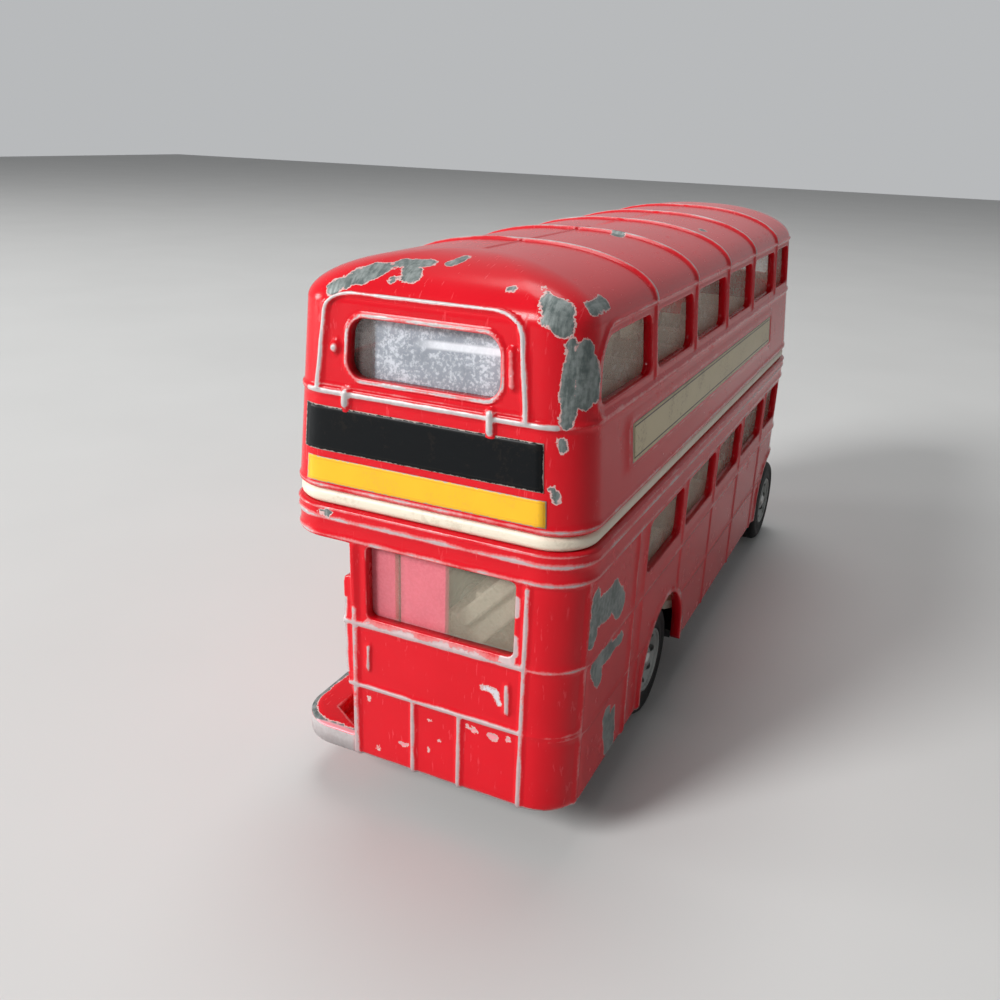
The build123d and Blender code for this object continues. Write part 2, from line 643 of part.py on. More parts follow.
# Wheel sets
for end, x, track in (("rear", rear_axle_x, rear_track_half),
                      ("front", front_axle_x, front_track_half)):
    with BuildPart() as axle:
        with BuildSketch(Plane.XZ.offset(-(track - hub_face))):
            with Locations((x, axle_z)):
                Circle(axle_r)
        extrude(amount=2 * (track - hub_face))
    axle.part.label = end + "_axle"
    export_step(axle.part, "parts/" + end + "_axle.step")
    for side_name, side in (("left", 1), ("right", -1)):
        # Tyre: a section with bevelled shoulders, turned about the axle
        with BuildPart() as tyre:
            with BuildSketch(Plane((x, 0, axle_z), x_dir=(0, side, 0), z_dir=(1, 0, 0))) as section:
                with Locations((track - tyre_w / 2, (hub_r + tyre_r) / 2)):
                    Rectangle(tyre_w, tyre_r - hub_r)
                chamfer(section.vertices().sort_by_distance((x, side * (track - tyre_w / 2),
                                                             axle_z + 3 * tyre_r))[:2],
                        tyre_shoulder)
            revolve(axis=Axis((x, 0, axle_z), (0, 1, 0)))
        tyre.part.label = end + "_tyre_" + side_name
        export_step(tyre.part, "parts/" + end + "_tyre_" + side_name + ".step")
        # Hub: a dished face with a ring of holes
        with BuildPart() as hub:
            with BuildSketch(Plane.XZ.offset(-side * (track - hub_face))):
                with Locations((x, axle_z)):
                    Circle(hub_r)
                    Circle(axle_r, mode=Mode.SUBTRACT)
            extrude(amount=side * (tyre_w - 2 * hub_face))
            with BuildSketch(Plane.XZ.offset(-side * (track - hub_face))):
                with Locations((x, axle_z)):
                    Circle(hub_r - hub_dish)
                    Circle(hub_hole_ring / 2, mode=Mode.SUBTRACT)
            extrude(amount=side * hub_dish, mode=Mode.SUBTRACT)
            with BuildSketch(Plane.XZ.offset(-side * (track - hub_face))):
                with Locations((x, axle_z)):
                    with PolarLocations(hub_hole_ring, hub_holes):
                        RegularPolygon(hub_hole_r, hub_hole_sides)
            extrude(amount=side * (tyre_w - 2 * hub_face), mode=Mode.SUBTRACT)
        hub.part.label = end + "_hub_" + side_name
        export_step(hub.part, "parts/" + end + "_hub_" + side_name + ".step")
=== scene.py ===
# %% [markdown]
# # A worn die-cast double decker bus
# The object is a pocket toy: two zinc castings in red enamel, a cream moulding whose edge
# shows between them, clear windows, a black base and two wheel sets. The enamel has worn off
# along every raised line and flaked off the corners. This lesson builds the castings as
# mesh grids that follow a formula, so that each raised line can carry its own wear.

# %% Load the measured frame
import math

import bmesh
import bpy
import numpy as np
from mathutils import Matrix, Vector


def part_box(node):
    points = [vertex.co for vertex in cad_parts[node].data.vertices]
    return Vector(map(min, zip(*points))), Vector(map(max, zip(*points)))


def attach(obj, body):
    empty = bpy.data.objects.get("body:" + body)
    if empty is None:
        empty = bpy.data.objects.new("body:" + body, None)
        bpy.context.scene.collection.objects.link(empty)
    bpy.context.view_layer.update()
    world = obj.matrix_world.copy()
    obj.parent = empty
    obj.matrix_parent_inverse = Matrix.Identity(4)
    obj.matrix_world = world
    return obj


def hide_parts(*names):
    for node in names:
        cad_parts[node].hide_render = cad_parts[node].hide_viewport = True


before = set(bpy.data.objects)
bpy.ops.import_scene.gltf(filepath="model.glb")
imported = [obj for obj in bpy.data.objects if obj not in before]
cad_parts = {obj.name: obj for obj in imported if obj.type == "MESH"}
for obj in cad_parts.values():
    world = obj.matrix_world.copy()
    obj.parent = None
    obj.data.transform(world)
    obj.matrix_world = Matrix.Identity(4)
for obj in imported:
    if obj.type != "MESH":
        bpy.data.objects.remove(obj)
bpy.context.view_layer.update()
MM = 0.001

# %% [markdown]
# ## The camera
# The toy is seen from behind and from its right, from above. A camera is three directions
# and a place. They are worked out from a yaw, a pitch and a small roll, because those are
# the numbers a photographer would read off a tripod.

# %% Camera
CAMERA_PLACE = Vector((-141.5, -47.1, 78.43)) * MM
YAW, PITCH, ROLL = math.radians(25.01), math.radians(-21.42), math.radians(2.0)
LENS_MM = 34.33


def camera_axes():
    """Turn yaw, pitch and roll into the camera's right, up and forward directions."""
    level_run = math.cos(PITCH)
    forward = Vector((level_run * math.cos(YAW), level_run * math.sin(YAW), math.sin(PITCH)))
    level = Vector((math.sin(YAW), -math.cos(YAW), 0))
    right = level * math.cos(ROLL) + level.cross(forward) * math.sin(ROLL)
    return right, right.cross(forward), forward


def new_object(name, data):
    """Put a mesh, a lamp or a camera into the scene."""
    made = bpy.data.objects.new(name, data)
    bpy.context.collection.objects.link(made)
    return made


right, up, forward = camera_axes()
camera_data = bpy.data.cameras.new("camera")
camera_data.lens, camera_data.sensor_width, camera_data.clip_start = LENS_MM, 36, 0.001
camera = new_object("camera", camera_data)
axes = Matrix((right, up, -forward)).transposed().to_4x4()
camera.matrix_world = Matrix.Translation(CAMERA_PLACE) @ axes
bpy.context.scene.camera = camera
print("Camera at", [round(value / MM) for value in CAMERA_PLACE], "mm")

# %% [markdown]
# ## Shader arithmetic
# Worn paint is mostly arithmetic on masks: a distance, plus some noise, through a soft step.
# Written as nodes that is a tangle, so a socket is wrapped in a small class whose operators
# add the Math nodes, and the finish reads as a formula.


# %% A socket that can be added and multiplied
class Field:
    """A value that varies over a surface: one output socket of a finish's node tree."""

    def __init__(self, finish, socket):
        self.finish, self.socket = finish, socket

    def __add__(self, other):
        return self.finish.math("ADD", self, other)

    def __sub__(self, other):
        return self.finish.math("SUBTRACT", self, other)

    def __rsub__(self, other):
        return self.finish.math("SUBTRACT", other, self)

    def __mul__(self, other):
        return self.finish.math("MULTIPLY", self, other)

    __radd__ = __add__
    __rmul__ = __mul__


# %% A finish, which adds nodes
class Finish:
    """A material in the making, with one method for every kind of node."""

    def __init__(self, name, **constants):
        self.material = bpy.data.materials.new(name)
        self.material.use_nodes = True
        self.tree = self.material.node_tree
        self.shader = self.tree.nodes["Principled BSDF"]
        for socket, value in constants.items():
            self.shader.inputs[socket.replace("_", " ")].default_value = value
        self.place = self.node("ShaderNodeVectorMath", {"operation": "SCALE"},
                               {"Vector": self.node("ShaderNodeTexCoord", output="Object"),
                                "Scale": 1 / MM})

    def node(self, kind, settings=None, inputs=None, output=0):
        made = self.tree.nodes.new(kind)
        for setting, value in (settings or {}).items():
            setattr(made, setting, value)
        for key, value in (inputs or {}).items():
            if isinstance(value, Field):
                self.tree.links.new(value.socket, made.inputs[key])
            else:
                made.inputs[key].default_value = value
        return Field(self, made.outputs[output])

    def math(self, operation, first, second=0.0):
        return self.node("ShaderNodeMath", {"operation": operation}, {0: first, 1: second})

    def stretched(self, factors):
        """The place, scaled along each axis, for noise that runs in streaks."""
        return self.node("ShaderNodeVectorMath", {"operation": "MULTIPLY"},
                         {0: self.place, 1: factors})

    def least(self, first, second):
        return self.math("MINIMUM", first, second)

    def most(self, first, second):
        return self.math("MAXIMUM", first, second)

    def step(self, value, low, high):
        """Soft step: 0 below low, 1 above high."""
        return self.node("ShaderNodeMapRange", {"interpolation_type": "SMOOTHSTEP"},
                         {"Value": value, "From Min": low, "From Max": high})

    def noise(self, scale, detail=2.0, roughness=0.5, place=None):
        """Noise about 0.5, scale in repeats per millimetre."""
        return self.node("ShaderNodeTexNoise", {},
                         {"Vector": place or self.place, "Scale": scale, "Detail": detail,
                          "Roughness": roughness})

    def parts(self):
        """The place's x, y and z in millimetres."""
        return [self.node("ShaderNodeSeparateXYZ", {}, {"Vector": self.place}, part)
                for part in range(3)]

    def blend(self, share, first, second):
        """Mix two colours; share 0 gives the first."""
        return self.node("ShaderNodeMix", {"data_type": "RGBA"}, {0: share, 6: first, 7: second}, 2)

    def attribute(self, name):
        return self.node("ShaderNodeAttribute", {"attribute_name": name}, output="Fac")

    def bump(self, height, distance_mm, strength):
        return self.node("ShaderNodeBump", {},
                         {"Height": height, "Distance": distance_mm * MM, "Strength": strength})

    def feed(self, **fields):
        """Link fields to the shader's sockets by name."""
        for socket, field in fields.items():
            self.tree.links.new(field.socket, self.shader.inputs[socket.replace("_", " ")])
        return self.material


# %% [markdown]
# ## Red enamel over zinc
# The enamel is a gloss stoving paint. Two numbers stored on the mesh take it off: one is 1 on
# the crest of each raised line, and one is the distance to the nearest chip, where the toy has
# been knocked. A chip is a stroke between two places with a reach about it, and noise breaks
# its edge. Stored numbers cost the renderer nothing, however many chips there are.

# %% Enamel chips: two places in millimetres, and the reach about the line between them
CHIPS = (
    # Along the dome's rear edge
    ((-58.6, 11.4, 62.3), (-57.6, 9.2, 63.4), 0.75),
    ((-57.3, 8.8, 63.6), (-56.2, 7.2, 64.3), 1.20),
    ((-55.0, 5.4, 64.9), (-54.5, 2.6, 65.1), 0.85),
    ((-55.8, 3.8, 64.6), (-56.9, 3.0, 63.9), 0.95),
    ((-54.2, 0.1, 65.2), (-52.0, -0.5, 65.7), 0.50),
    ((-57.3, -12.0, 63.3), (-58.8, -12.7, 61.6), 0.60),
    ((-57.5, -12.9, 62.9), (-58.5, -13.4, 61.6), 0.80),
    ((-57.3, -13.7, 62.9), (-58.3, -14.3, 61.0), 0.90),
    ((-55.0, -15.7, 62.4), (-51.6, -15.8, 62.7), 0.75),
    ((-57.6, 5.0, 63.5), (-57.5, 5.1, 63.5), 0.35),
    ((-57.1, -8.1, 63.9), (-57.0, -8.2, 63.9), 0.42),
    ((-56.3, -11.2, 64.1), (-56.2, -11.1, 64.1), 0.35),
    # Down the right corner of the upper deck
    ((-58.1, -15.1, 59.4), (-58.6, -15.1, 52.4), 0.60),
    ((-57.0, -16.0, 58.6), (-57.1, -16.3, 54.2), 1.15),
    ((-56.2, -16.6, 57.6), (-56.3, -16.9, 54.4), 0.80),
    ((-58.3, -15.7, 53.6), (-58.8, -15.3, 52.0), 0.65),
    ((-59.0, -15.0, 50.0), (-59.0, -15.1, 49.2), 0.45),
    ((-59.5, -14.6, 45.2), (-59.4, -15.0, 44.0), 0.35),
    # Down the right corner of the lower deck
    ((-54.6, -18.4, 32.0), (-55.0, -18.4, 27.2), 1.00),
    ((-53.6, -18.4, 29.8), (-50.0, -18.4, 29.3), 1.75),
    ((-48.8, -18.4, 29.8), (-46.2, -18.4, 27.4), 1.70),
    ((-54.0, -18.4, 23.0), (-52.0, -18.4, 20.6), 1.00),
    ((-53.0, -18.4, 23.2), (-48.5, -18.4, 22.6), 1.05),
    ((-48.5, -18.4, 22.6), (-44.4, -18.4, 22.2), 0.60),
    ((-47.7, -18.4, 13.0), (-46.3, -18.4, 8.0), 1.20),
    ((-45.4, -18.4, 12.0), (-44.8, -18.4, 7.0), 0.85),
    # Flakes on the back panel, beside its handle and below
    ((-60.0, -7.8, 20.7), (-60.0, -9.3, 20.5), 0.22),
    ((-60.0, -9.3, 20.3), (-60.0, -9.9, 19.1), 0.22),
    ((-60.0, 7.2, 14.6), (-60.0, 7.1, 14.3), 0.10),
    ((-60.0, 6.0, 8.3), (-60.0, 6.0, 7.9), 0.10),
    ((-60.0, 2.7, 9.7), (-60.0, 2.0, 9.6), 0.16),
    ((-60.0, -1.1, 14.2), (-60.0, -1.1, 14.0), 0.14),
    ((-60.0, -1.0, 10.6), (-60.0, -0.9, 9.8), 0.06),
    ((-60.0, -2.4, 11.7), (-60.0, -3.0, 12.3), 0.00),
    ((-60.0, -6.0, 14.9), (-60.0, -7.2, 14.6), 0.16),
    ((-60.0, -8.7, 14.7), (-60.0, -9.5, 14.5), 0.20),
    ((-60.0, -11.0, 14.9), (-60.0, -11.1, 14.6), 0.12),
    # Roof, front corners, wing and rim
    ((-21.5, -6.3, 66.0), (-18.5, -5.6, 66.0), 0.80),
    ((3.0, -11.2, 65.2), (5.0, -10.8, 65.3), 0.60),
    ((55.4, 12.2, 62.6), (56.8, 13.2, 60.8), 1.10),
    ((57.2, -11.2, 59.6), (57.6, -12.2, 57.2), 0.90),
    ((50.0, 17.9, 18.9), (52.4, 17.6, 18.4), 0.70),
    ((-59.0, 15.0, 37.3), (-58.2, 16.0, 37.1), 0.45),
    ((-60.0, 12.0, 37.4), (-60.0, 13.2, 37.4), 0.35),
)
print("Enamel chips:", len(CHIPS))


def chip_distance(points):
    """Millimetres outside the nearest chip, negative within one."""
    nearest = np.full(len(points), 5.0)
    for start, end, reach in CHIPS:
        run = np.subtract(end, start)
        share = np.clip((points - start) @ run / (run @ run), 0, 1)
        away = np.linalg.norm(points - start - share[:, None] * run, axis=1)
        nearest = np.minimum(nearest, away - reach)
    return nearest


# %% The enamel itself
def enamel(name):
    finish = Finish(name, Specular_IOR_Level=0.22)
    cloudy = finish.noise(0.12, 3.0)
    grain = finish.noise(1.4, 3.0, 0.6)
    fine = finish.noise(7.0, 2.0)
    # Rubbing comes and goes along a raised line, and its edge is only a little ragged
    rubbed = finish.attribute("worn") + (finish.noise(0.28, 2.0) - 0.5) * 0.85 \
        + (finish.noise(3.2, 2.0) - 0.5) * 0.28
    thinned = finish.step(rubbed, 0.42, 0.72)
    rubbed = finish.step(rubbed, 0.72, 0.81)
    # A chip breaks off in flakes, and leaves a pale edge of primer round the bare zinc
    chip = finish.attribute("chip") + (finish.noise(0.7, 3.0, 0.6) - 0.5) * 1.2 \
        + (finish.noise(3.0, 2.0, 0.6) - 0.5) * 0.45
    chipped = finish.step(chip, 0.04, -0.02)
    primer = finish.step(chip, 0.19, 0.12) - chipped
    bare = finish.most(rubbed, chipped)
    # Fine scratches run mostly up and down the panels
    streaks = finish.noise(1.0, 3.0, 0.65, finish.stretched((0.5, 2.2, 0.35)))
    scratches = finish.step(streaks, 0.60, 0.66) * finish.step(finish.noise(0.25), 0.45, 0.6)
    red = finish.blend(cloudy, (0.56, 0.003, 0.010, 1), (0.68, 0.006, 0.016, 1))
    red = finish.blend(scratches * 0.22, red, (0.80, 0.12, 0.14, 1))
    red = finish.blend(thinned * 0.65, red, (0.72, 0.30, 0.30, 1))
    red = finish.blend(primer, red, (0.62, 0.42, 0.40, 1))
    zinc = finish.blend(finish.step(streaks * 0.6 + grain * 0.5, 0.40, 0.72),
                        (0.10, 0.125, 0.120, 1), (0.27, 0.300, 0.290, 1))
    # The small flakes of the back panel are shallow, and show primer instead of zinc
    x, y, z = finish.parts()
    for top, primer_colour in ((24.0, (0.66, 0.64, 0.68, 1)), (19.0, (0.80, 0.30, 0.34, 1))):
        on_panel = finish.step(x, -59.3, -59.6) * finish.step(z, top, top - 1.0)
        zinc = finish.blend(on_panel, zinc, primer_colour)
    neutral = finish.most(finish.step(z, 38.0, 46.0), finish.step(y, 9.4, 9.9))
    polished = finish.blend(neutral, (0.66, 0.47, 0.48, 1), (0.60, 0.58, 0.58, 1))
    polished = finish.blend(grain, polished, (0.40, 0.34, 0.34, 1))
    gloss = 0.17 + scratches * 0.15 + fine * 0.06
    relief = (1 - bare) * 1.0 + grain * 0.10 + fine * 0.05 - scratches * 0.06
    return finish.feed(
        Base_Color=finish.blend(bare, red, finish.blend(chipped, polished, zinc)),
        Metallic=bare * 0.35,
        Roughness=finish.node("ShaderNodeMix", {"data_type": "FLOAT"},
                              {0: bare, 2: gloss, 3: 0.40 + grain * 0.2}),
        Normal=finish.bump(relief, 0.06, 0.6))


RED_ENAMEL = enamel("red_enamel")

# %% [markdown]
# ## The plan of the castings
# Both castings share one plan: a flat back with small round corners, straight sides and a
# bowed front with large round corners. A point of it is named by s, the millimetres walked
# along the outline from the middle of the back, positive along the right side.

# %% Sizes from the frame and from the photograph
BEAD = 0.35
lower_low, lower_high = (Vector(corner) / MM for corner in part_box("lower_body"))
upper_low, upper_high = (Vector(corner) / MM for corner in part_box("upper_body"))
HALF_W = lower_high.y - BEAD
REAR_X = lower_low.x + BEAD
FRONT_X = lower_high.x - BEAD
REAR_CORNER, FRONT_CORNER, FRONT_BOW = 5.3, 13.5, 2.5
WALL = 1.1
LIP = 0.22

FLAT_END = HALF_W - REAR_CORNER
CORNER_END = FLAT_END + REAR_CORNER * math.pi / 2


# %% Walking round the plan
def front_shape(half, front):
    """Radius and centre of the bowed front, and where its round corner meets the side."""
    share = half / HALF_W
    bow = (half ** 2 + (FRONT_BOW * share) ** 2) / (2 * FRONT_BOW * share)
    radius = FRONT_CORNER * share
    bow_x = front - bow
    reach_x = bow_x + np.sqrt((bow - radius) ** 2 - (half - radius) ** 2)
    return bow, bow_x, radius, reach_x, np.arctan2(half - radius, reach_x - bow_x)


bow, bow_x, radius, reach_x, tilt = front_shape(HALF_W, FRONT_X)
SIDE_END = CORNER_END + reach_x - (REAR_X + REAR_CORNER)
ARC_END = SIDE_END + radius * (math.pi / 2 - tilt)
FULL = ARC_END + bow * tilt
# Between these two stations the grid's upright lines stay at their own x all the way up
STEADY = (-45.0, 38.0)
print("Half of the outline measures", round(FULL, 1), "mm")


def s_at_x(x):
    """Station s of a place on the straight side."""
    return CORNER_END + x - (REAR_X + REAR_CORNER)


def side_x(base_x, rear, front_reach):
    """x on the side wall: steady in the middle, drawn in near the ends as the plan shrinks."""
    rear_share = (STEADY[0] - rear) / (STEADY[0] - (REAR_X + REAR_CORNER))
    front_share = (front_reach - STEADY[1]) / (reach_x - STEADY[1])
    return np.where(base_x < STEADY[0], STEADY[0] - (STEADY[0] - base_x) * rear_share,
                    np.where(base_x > STEADY[1], STEADY[1] + (base_x - STEADY[1]) * front_share,
                             base_x))


def plan_point(s, half, rear, front):
    """x and y of station s on a plan with the given half width and ends."""
    walked = np.abs(s)
    share = half / HALF_W
    corner = REAR_CORNER * share
    bow_r, bow_c, arc_r, arc_x, lean = front_shape(half, front)
    turn = np.clip((walked - FLAT_END) / REAR_CORNER, 0, math.pi / 2)
    swing = (walked - SIDE_END) / (ARC_END - SIDE_END) * (math.pi / 2 - lean)
    left = (FULL - walked) / (FULL - ARC_END) * lean
    stages = [walked <= FLAT_END, walked <= CORNER_END, walked <= SIDE_END, walked <= ARC_END]
    x = np.select(stages, [rear + 0 * walked, rear + corner * (1 - np.cos(turn)),
                           side_x(REAR_X + REAR_CORNER + walked - CORNER_END, rear + corner, arc_x),
                           arc_x + arc_r * np.sin(swing)], bow_c + bow_r * np.cos(left))
    y = np.select(stages, [walked / FLAT_END * (half - corner),
                           half - corner + corner * np.sin(turn), half + 0 * walked,
                           half - arc_r + arc_r * np.cos(swing)], bow_r * np.sin(left))
    return x, -np.sign(s) * y


FRONT_STATIONS = np.linspace(FULL, SIDE_END, 400)
FRONT_PLACES = plan_point(FRONT_STATIONS, HALF_W, REAR_X, FRONT_X)


def s_at_front(y):
    """Station s of a place on the front, y millimetres from the middle, right side positive."""
    return float(np.interp(y, -FRONT_PLACES[1], FRONT_STATIONS))


def x_at_front(y):
    return float(np.interp(y, -FRONT_PLACES[1], FRONT_PLACES[0]))


# %% [markdown]
# ## From plan to wall
# The lower casting stands straight. The upper one leans in a little up to the gutter and
# then curves over in a quarter ellipse to a narrow flat crown. Each is a function from a
# station s and a height v to a point, which is all that the grid builder needs to know.

# %% Wall functions
RIM_Z = lower_high.z
BAND_Z = upper_low.z
EAVE_Z = 60.7
ROOF_Z = upper_high.z - BEAD
LEAN_SIDE, LEAN_REAR, LEAN_FRONT = 1.7, 0.8, 1.8
CROWN_HALF = 1.8
RUN_REAR, RUN_FRONT = 11.0, 12.0
DOME = 16.4


def lower_wall(s, v):
    x, y = plan_point(s, HALF_W + 0 * s, REAR_X + 0 * s, FRONT_X + 0 * s)
    return np.stack([x, y, v + 0 * s], axis=-1)


def upper_wall(s, v):
    up_wall = np.clip((v - BAND_Z) / (EAVE_Z - BAND_Z), 0, 1)
    over = np.clip((v - EAVE_Z) / DOME, 0, 1) * math.pi / 2
    inward = 1 - np.cos(over)
    eave_half = HALF_W - LEAN_SIDE * up_wall
    half = eave_half - (HALF_W - LEAN_SIDE - CROWN_HALF) * inward
    rear = REAR_X + LEAN_REAR * up_wall + RUN_REAR * inward
    front = FRONT_X - LEAN_FRONT * up_wall - RUN_FRONT * inward
    x, y = plan_point(s, half, rear, front)
    z = np.where(v < EAVE_Z, v, EAVE_Z + (ROOF_Z - EAVE_Z) * np.sin(over))
    crown = np.clip((v - EAVE_Z - DOME) / CROWN_HALF, 0, 1)
    middle = np.clip(x, rear + CROWN_HALF, front - CROWN_HALF)
    return np.stack([x + (middle - x) * crown, y * (1 - crown), z], axis=-1)


def v_at_z(z):
    """Height v up the upper wall of a place z millimetres above the ground."""
    if z <= EAVE_Z:
        return z
    return EAVE_Z + DOME * math.asin((z - EAVE_Z) / (ROOF_Z - EAVE_Z)) / (math.pi / 2)


def outward(wall, s, v):
    """Unit normals of a wall by small differences."""
    reach = 0.02
    along = wall(s + reach, v) - wall(s - reach, v)
    rise = wall(s, v + reach) - wall(s, v - reach)
    normal = np.cross(along, rise)
    size = np.linalg.norm(normal, axis=-1, keepdims=True)
    return np.where(size > 1e-9, normal / np.maximum(size, 1e-9), (0.0, 0.0, 1.0))


# %% [markdown]
# ## Shapes drawn on the wall
# Windows and raised lines are drawn in s and v with signed distances: negative inside an
# outline, positive outside. A window is cut where its distance is negative, a raised line
# stands where a distance is near nought, and both can share one outline.

# %% Signed distances and profiles
def box_distance(s, v, s_range, v_range, corner):
    """Distance to a rectangle with round corners."""
    ds = np.abs(s - sum(s_range) / 2) - (s_range[1] - s_range[0]) / 2 + corner
    dv = np.abs(v - sum(v_range) / 2) - (v_range[1] - v_range[0]) / 2 + corner
    outside = np.hypot(np.maximum(ds, 0), np.maximum(dv, 0))
    return outside + np.minimum(np.maximum(ds, dv), 0) - corner


def line_distance(s, v, start, end):
    """Distance to a straight stroke."""
    ds, dv = end[0] - start[0], end[1] - start[1]
    share = np.clip(((s - start[0]) * ds + (v - start[1]) * dv) / (ds * ds + dv * dv), 0, 1)
    return np.hypot(s - start[0] - share * ds, v - start[1] - share * dv)


def union(*distances):
    return np.minimum.reduce(distances)


def no_opening(s, v):
    return 99 + 0 * s


class Relief:
    """Height of the raised lines over a wall, and how much rubbing each point has had."""

    def __init__(self, s, v):
        self.height = np.zeros_like(s)
        self.worn = np.zeros_like(s)

    def bead(self, distance, half_width, height, rubbed=1.0, where=True):
        crest = np.where(where, np.clip(1 - (distance / half_width) ** 2, 0, 1), 0)
        self.height = np.maximum(self.height, height * crest ** 0.6)
        self.rub(rubbed * crest)

    def rub(self, amount):
        self.worn = np.maximum(self.worn, amount)

    def raise_by(self, height, share):
        self.height = self.height + height * share


# %% [markdown]
# ## The grid builder
# The wall is a grid of quads outside and another inside. Where a window is cut, the quads
# go, the vertices on its rim slide onto the exact outline, and a rounded lip joins the two
# grids. Booleans would do it too, but they leave long thin faces that shade badly.

# %% Build a casting
LIP_TURNS = (math.radians(30), math.radians(60), math.radians(90))


def grid_lines(zones, marks):
    """Evenly spaced lines in each zone, giving way to exact lines at the marks."""
    lines = [np.arange(start, end, step) for start, end, step in zones] + [[zones[-1][1]]]
    lines = np.concatenate(lines)
    marks = np.unique(np.round(marks, 4))
    clear = np.min(np.abs(lines[:, None] - marks[None, :]), axis=1) > 0.13
    return np.unique(np.concatenate([lines[clear], marks]))


def slope(distance, s, v):
    """Unit gradient of a distance, pointing away from the opening, and its steepness."""
    reach = 0.01
    ds = (distance(s + reach, v) - distance(s - reach, v)) / (2 * reach)
    dv = (distance(s, v + reach) - distance(s, v - reach)) / (2 * reach)
    size = np.maximum(np.hypot(ds, dv), 1e-9)
    return ds / size, dv / size, np.maximum(size, 0.3)


def casting(name, wall, s_lines, v_lines, opening, relief, thick=WALL, lip=LIP, loop=True,
            inside=0.0):
    """Two-sided sheet that follows wall(s, v), with openings, lips and raised lines.

    The last argument, inside, is the wear of its inner face; the platform wall uses it as painted
    light, paler paint on its inner face.
    """
    s, v = (grid.ravel() for grid in np.meshgrid(s_lines, v_lines, indexing="ij"))
    ids = np.arange(s.size).reshape(len(s_lines), len(v_lines))
    if loop:
        ids = np.vstack([ids, ids[:1]])
    quads = np.stack([ids[:-1, :-1], ids[1:, :-1], ids[1:, 1:], ids[:-1, 1:]], -1).reshape(-1, 4)
    cut = (opening(s, v) - lip < -1e-6)[quads].any(axis=1)
    kept, dropped = quads[~cut], quads[cut]
    s, v = s.copy(), v.copy()
    rim = np.intersect1d(kept, dropped)
    for _ in range(4):
        away_s, away_v, steep = slope(opening, s[rim], v[rim])
        gap = (opening(s[rim], v[rim]) - lip) / steep
        s[rim] -= gap * away_s
        v[rim] -= gap * away_v
    away_s, away_v, steep = slope(opening, s[rim], v[rim])

    form = relief(s, v)
    normal = outward(wall, s, v)
    points = [wall(s, v) + normal * form.height[:, None]]
    worn = [form.worn]
    faces = [kept]
    count = s.size
    # Rounded lip of each opening, row by row, ending at the inside of the wall
    rows = [(lip * math.sin(turn), lip * (1 - math.cos(turn)), 0.9 * math.cos(turn) + 0.1)
            for turn in LIP_TURNS] + [(lip, thick, 0.0)]
    edges = np.concatenate([kept[:, [k, (k + 1) % 4]] for k in range(4)])
    size = s.size + 1
    gone = np.concatenate([dropped[:, [(k + 1) % 4, k]] for k in range(4)])
    on_rim = np.isin(edges[:, 0] * size + edges[:, 1], gone[:, 0] * size + gone[:, 1])
    rim_edges = edges[on_rim]
    row_of = np.full(s.size, -1)
    row_of[rim] = np.arange(rim.size)
    before = rim_edges
    for inward, deep, rubbed in rows:
        row_s, row_v = s[rim] - away_s * inward, v[rim] - away_v * inward
        height = form.height[rim] * (1 if deep < thick else 0) - deep
        points.append(wall(row_s, row_v) + outward(wall, row_s, row_v) * height[:, None])
        worn.append(rubbed * np.maximum(form.worn[rim], 0.6))
        after = row_of[rim_edges] + count
        faces.append(np.column_stack([before[:, 1], before[:, 0], after[:, 0], after[:, 1]]))
        before = after
        count += rim.size
    # Inside of the wall: the same grid, plain, sharing the last row of each lip
    inner = np.arange(s.size) + count
    points.append(wall(s, v) - normal * thick)
    worn.append(np.full(s.size, inside))
    inner[rim] = row_of[rim] + count - rim.size
    faces.append(inner[kept][:, ::-1])
    # Free edges at the ends of the grid
    backward = np.isin(edges[:, 1] * size + edges[:, 0], edges[:, 0] * size + edges[:, 1])
    free = edges[~backward & ~on_rim]
    faces.append(np.column_stack([free[:, 1], free[:, 0], inner[free[:, 0]], inner[free[:, 1]]]))
    return mesh_object(name, np.concatenate(points), np.concatenate(faces), np.concatenate(worn))


# %% Objects, and the numbers stored on them
def store(mesh, name, values):
    """Keep one number for each point of a mesh, for the finish to read."""
    layer = mesh.attributes.get(name) or mesh.attributes.new(name, "FLOAT", "POINT")
    layer.data.foreach_set("value", np.asarray(values, dtype=np.float32))


def places(mesh):
    """The points of a mesh in millimetres, a row each."""
    flat = np.empty(len(mesh.vertices) * 3, dtype=np.float32)
    mesh.vertices.foreach_get("co", flat)
    return flat.reshape(-1, 3) / MM


def object_from(work, name, mesh=None):
    """Turn the work on a mesh into an object, and say how large it came out."""
    mesh = mesh or bpy.data.meshes.new(name)
    work.to_mesh(mesh)
    work.free()
    print(name, len(mesh.vertices), "points,", len(mesh.polygons), "faces")
    return new_object(name, mesh)


def mesh_object(name, points_mm, faces, worn=None):
    """Make an object from points in millimetres, dropping loose points and merging doubles."""
    mesh = bpy.data.meshes.new(name)
    mesh.from_pydata((points_mm * MM).tolist(), [], faces.tolist())
    if worn is not None:
        store(mesh, "worn", worn)
    work = bmesh.new()
    work.from_mesh(mesh)
    bmesh.ops.delete(work, geom=[point for point in work.verts if not point.link_faces],
                     context="VERTS")
    bmesh.ops.remove_doubles(work, verts=work.verts, dist=0.002 * MM)
    bmesh.ops.dissolve_degenerate(work, edges=work.edges, dist=0.0005 * MM)
    made = object_from(work, name, mesh)
    mesh.shade_smooth()
    return made


def finish_piece(piece, material, body="body", replaces=()):
    """Give a piece its material and let it ride on its body."""
    if material is RED_ENAMEL:
        store(piece.data, "chip", chip_distance(places(piece.data)))
    piece.data.materials.clear()
    piece.data.materials.append(material)
    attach(piece, body)
    if replaces:
        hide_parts(*replaces)
    return piece


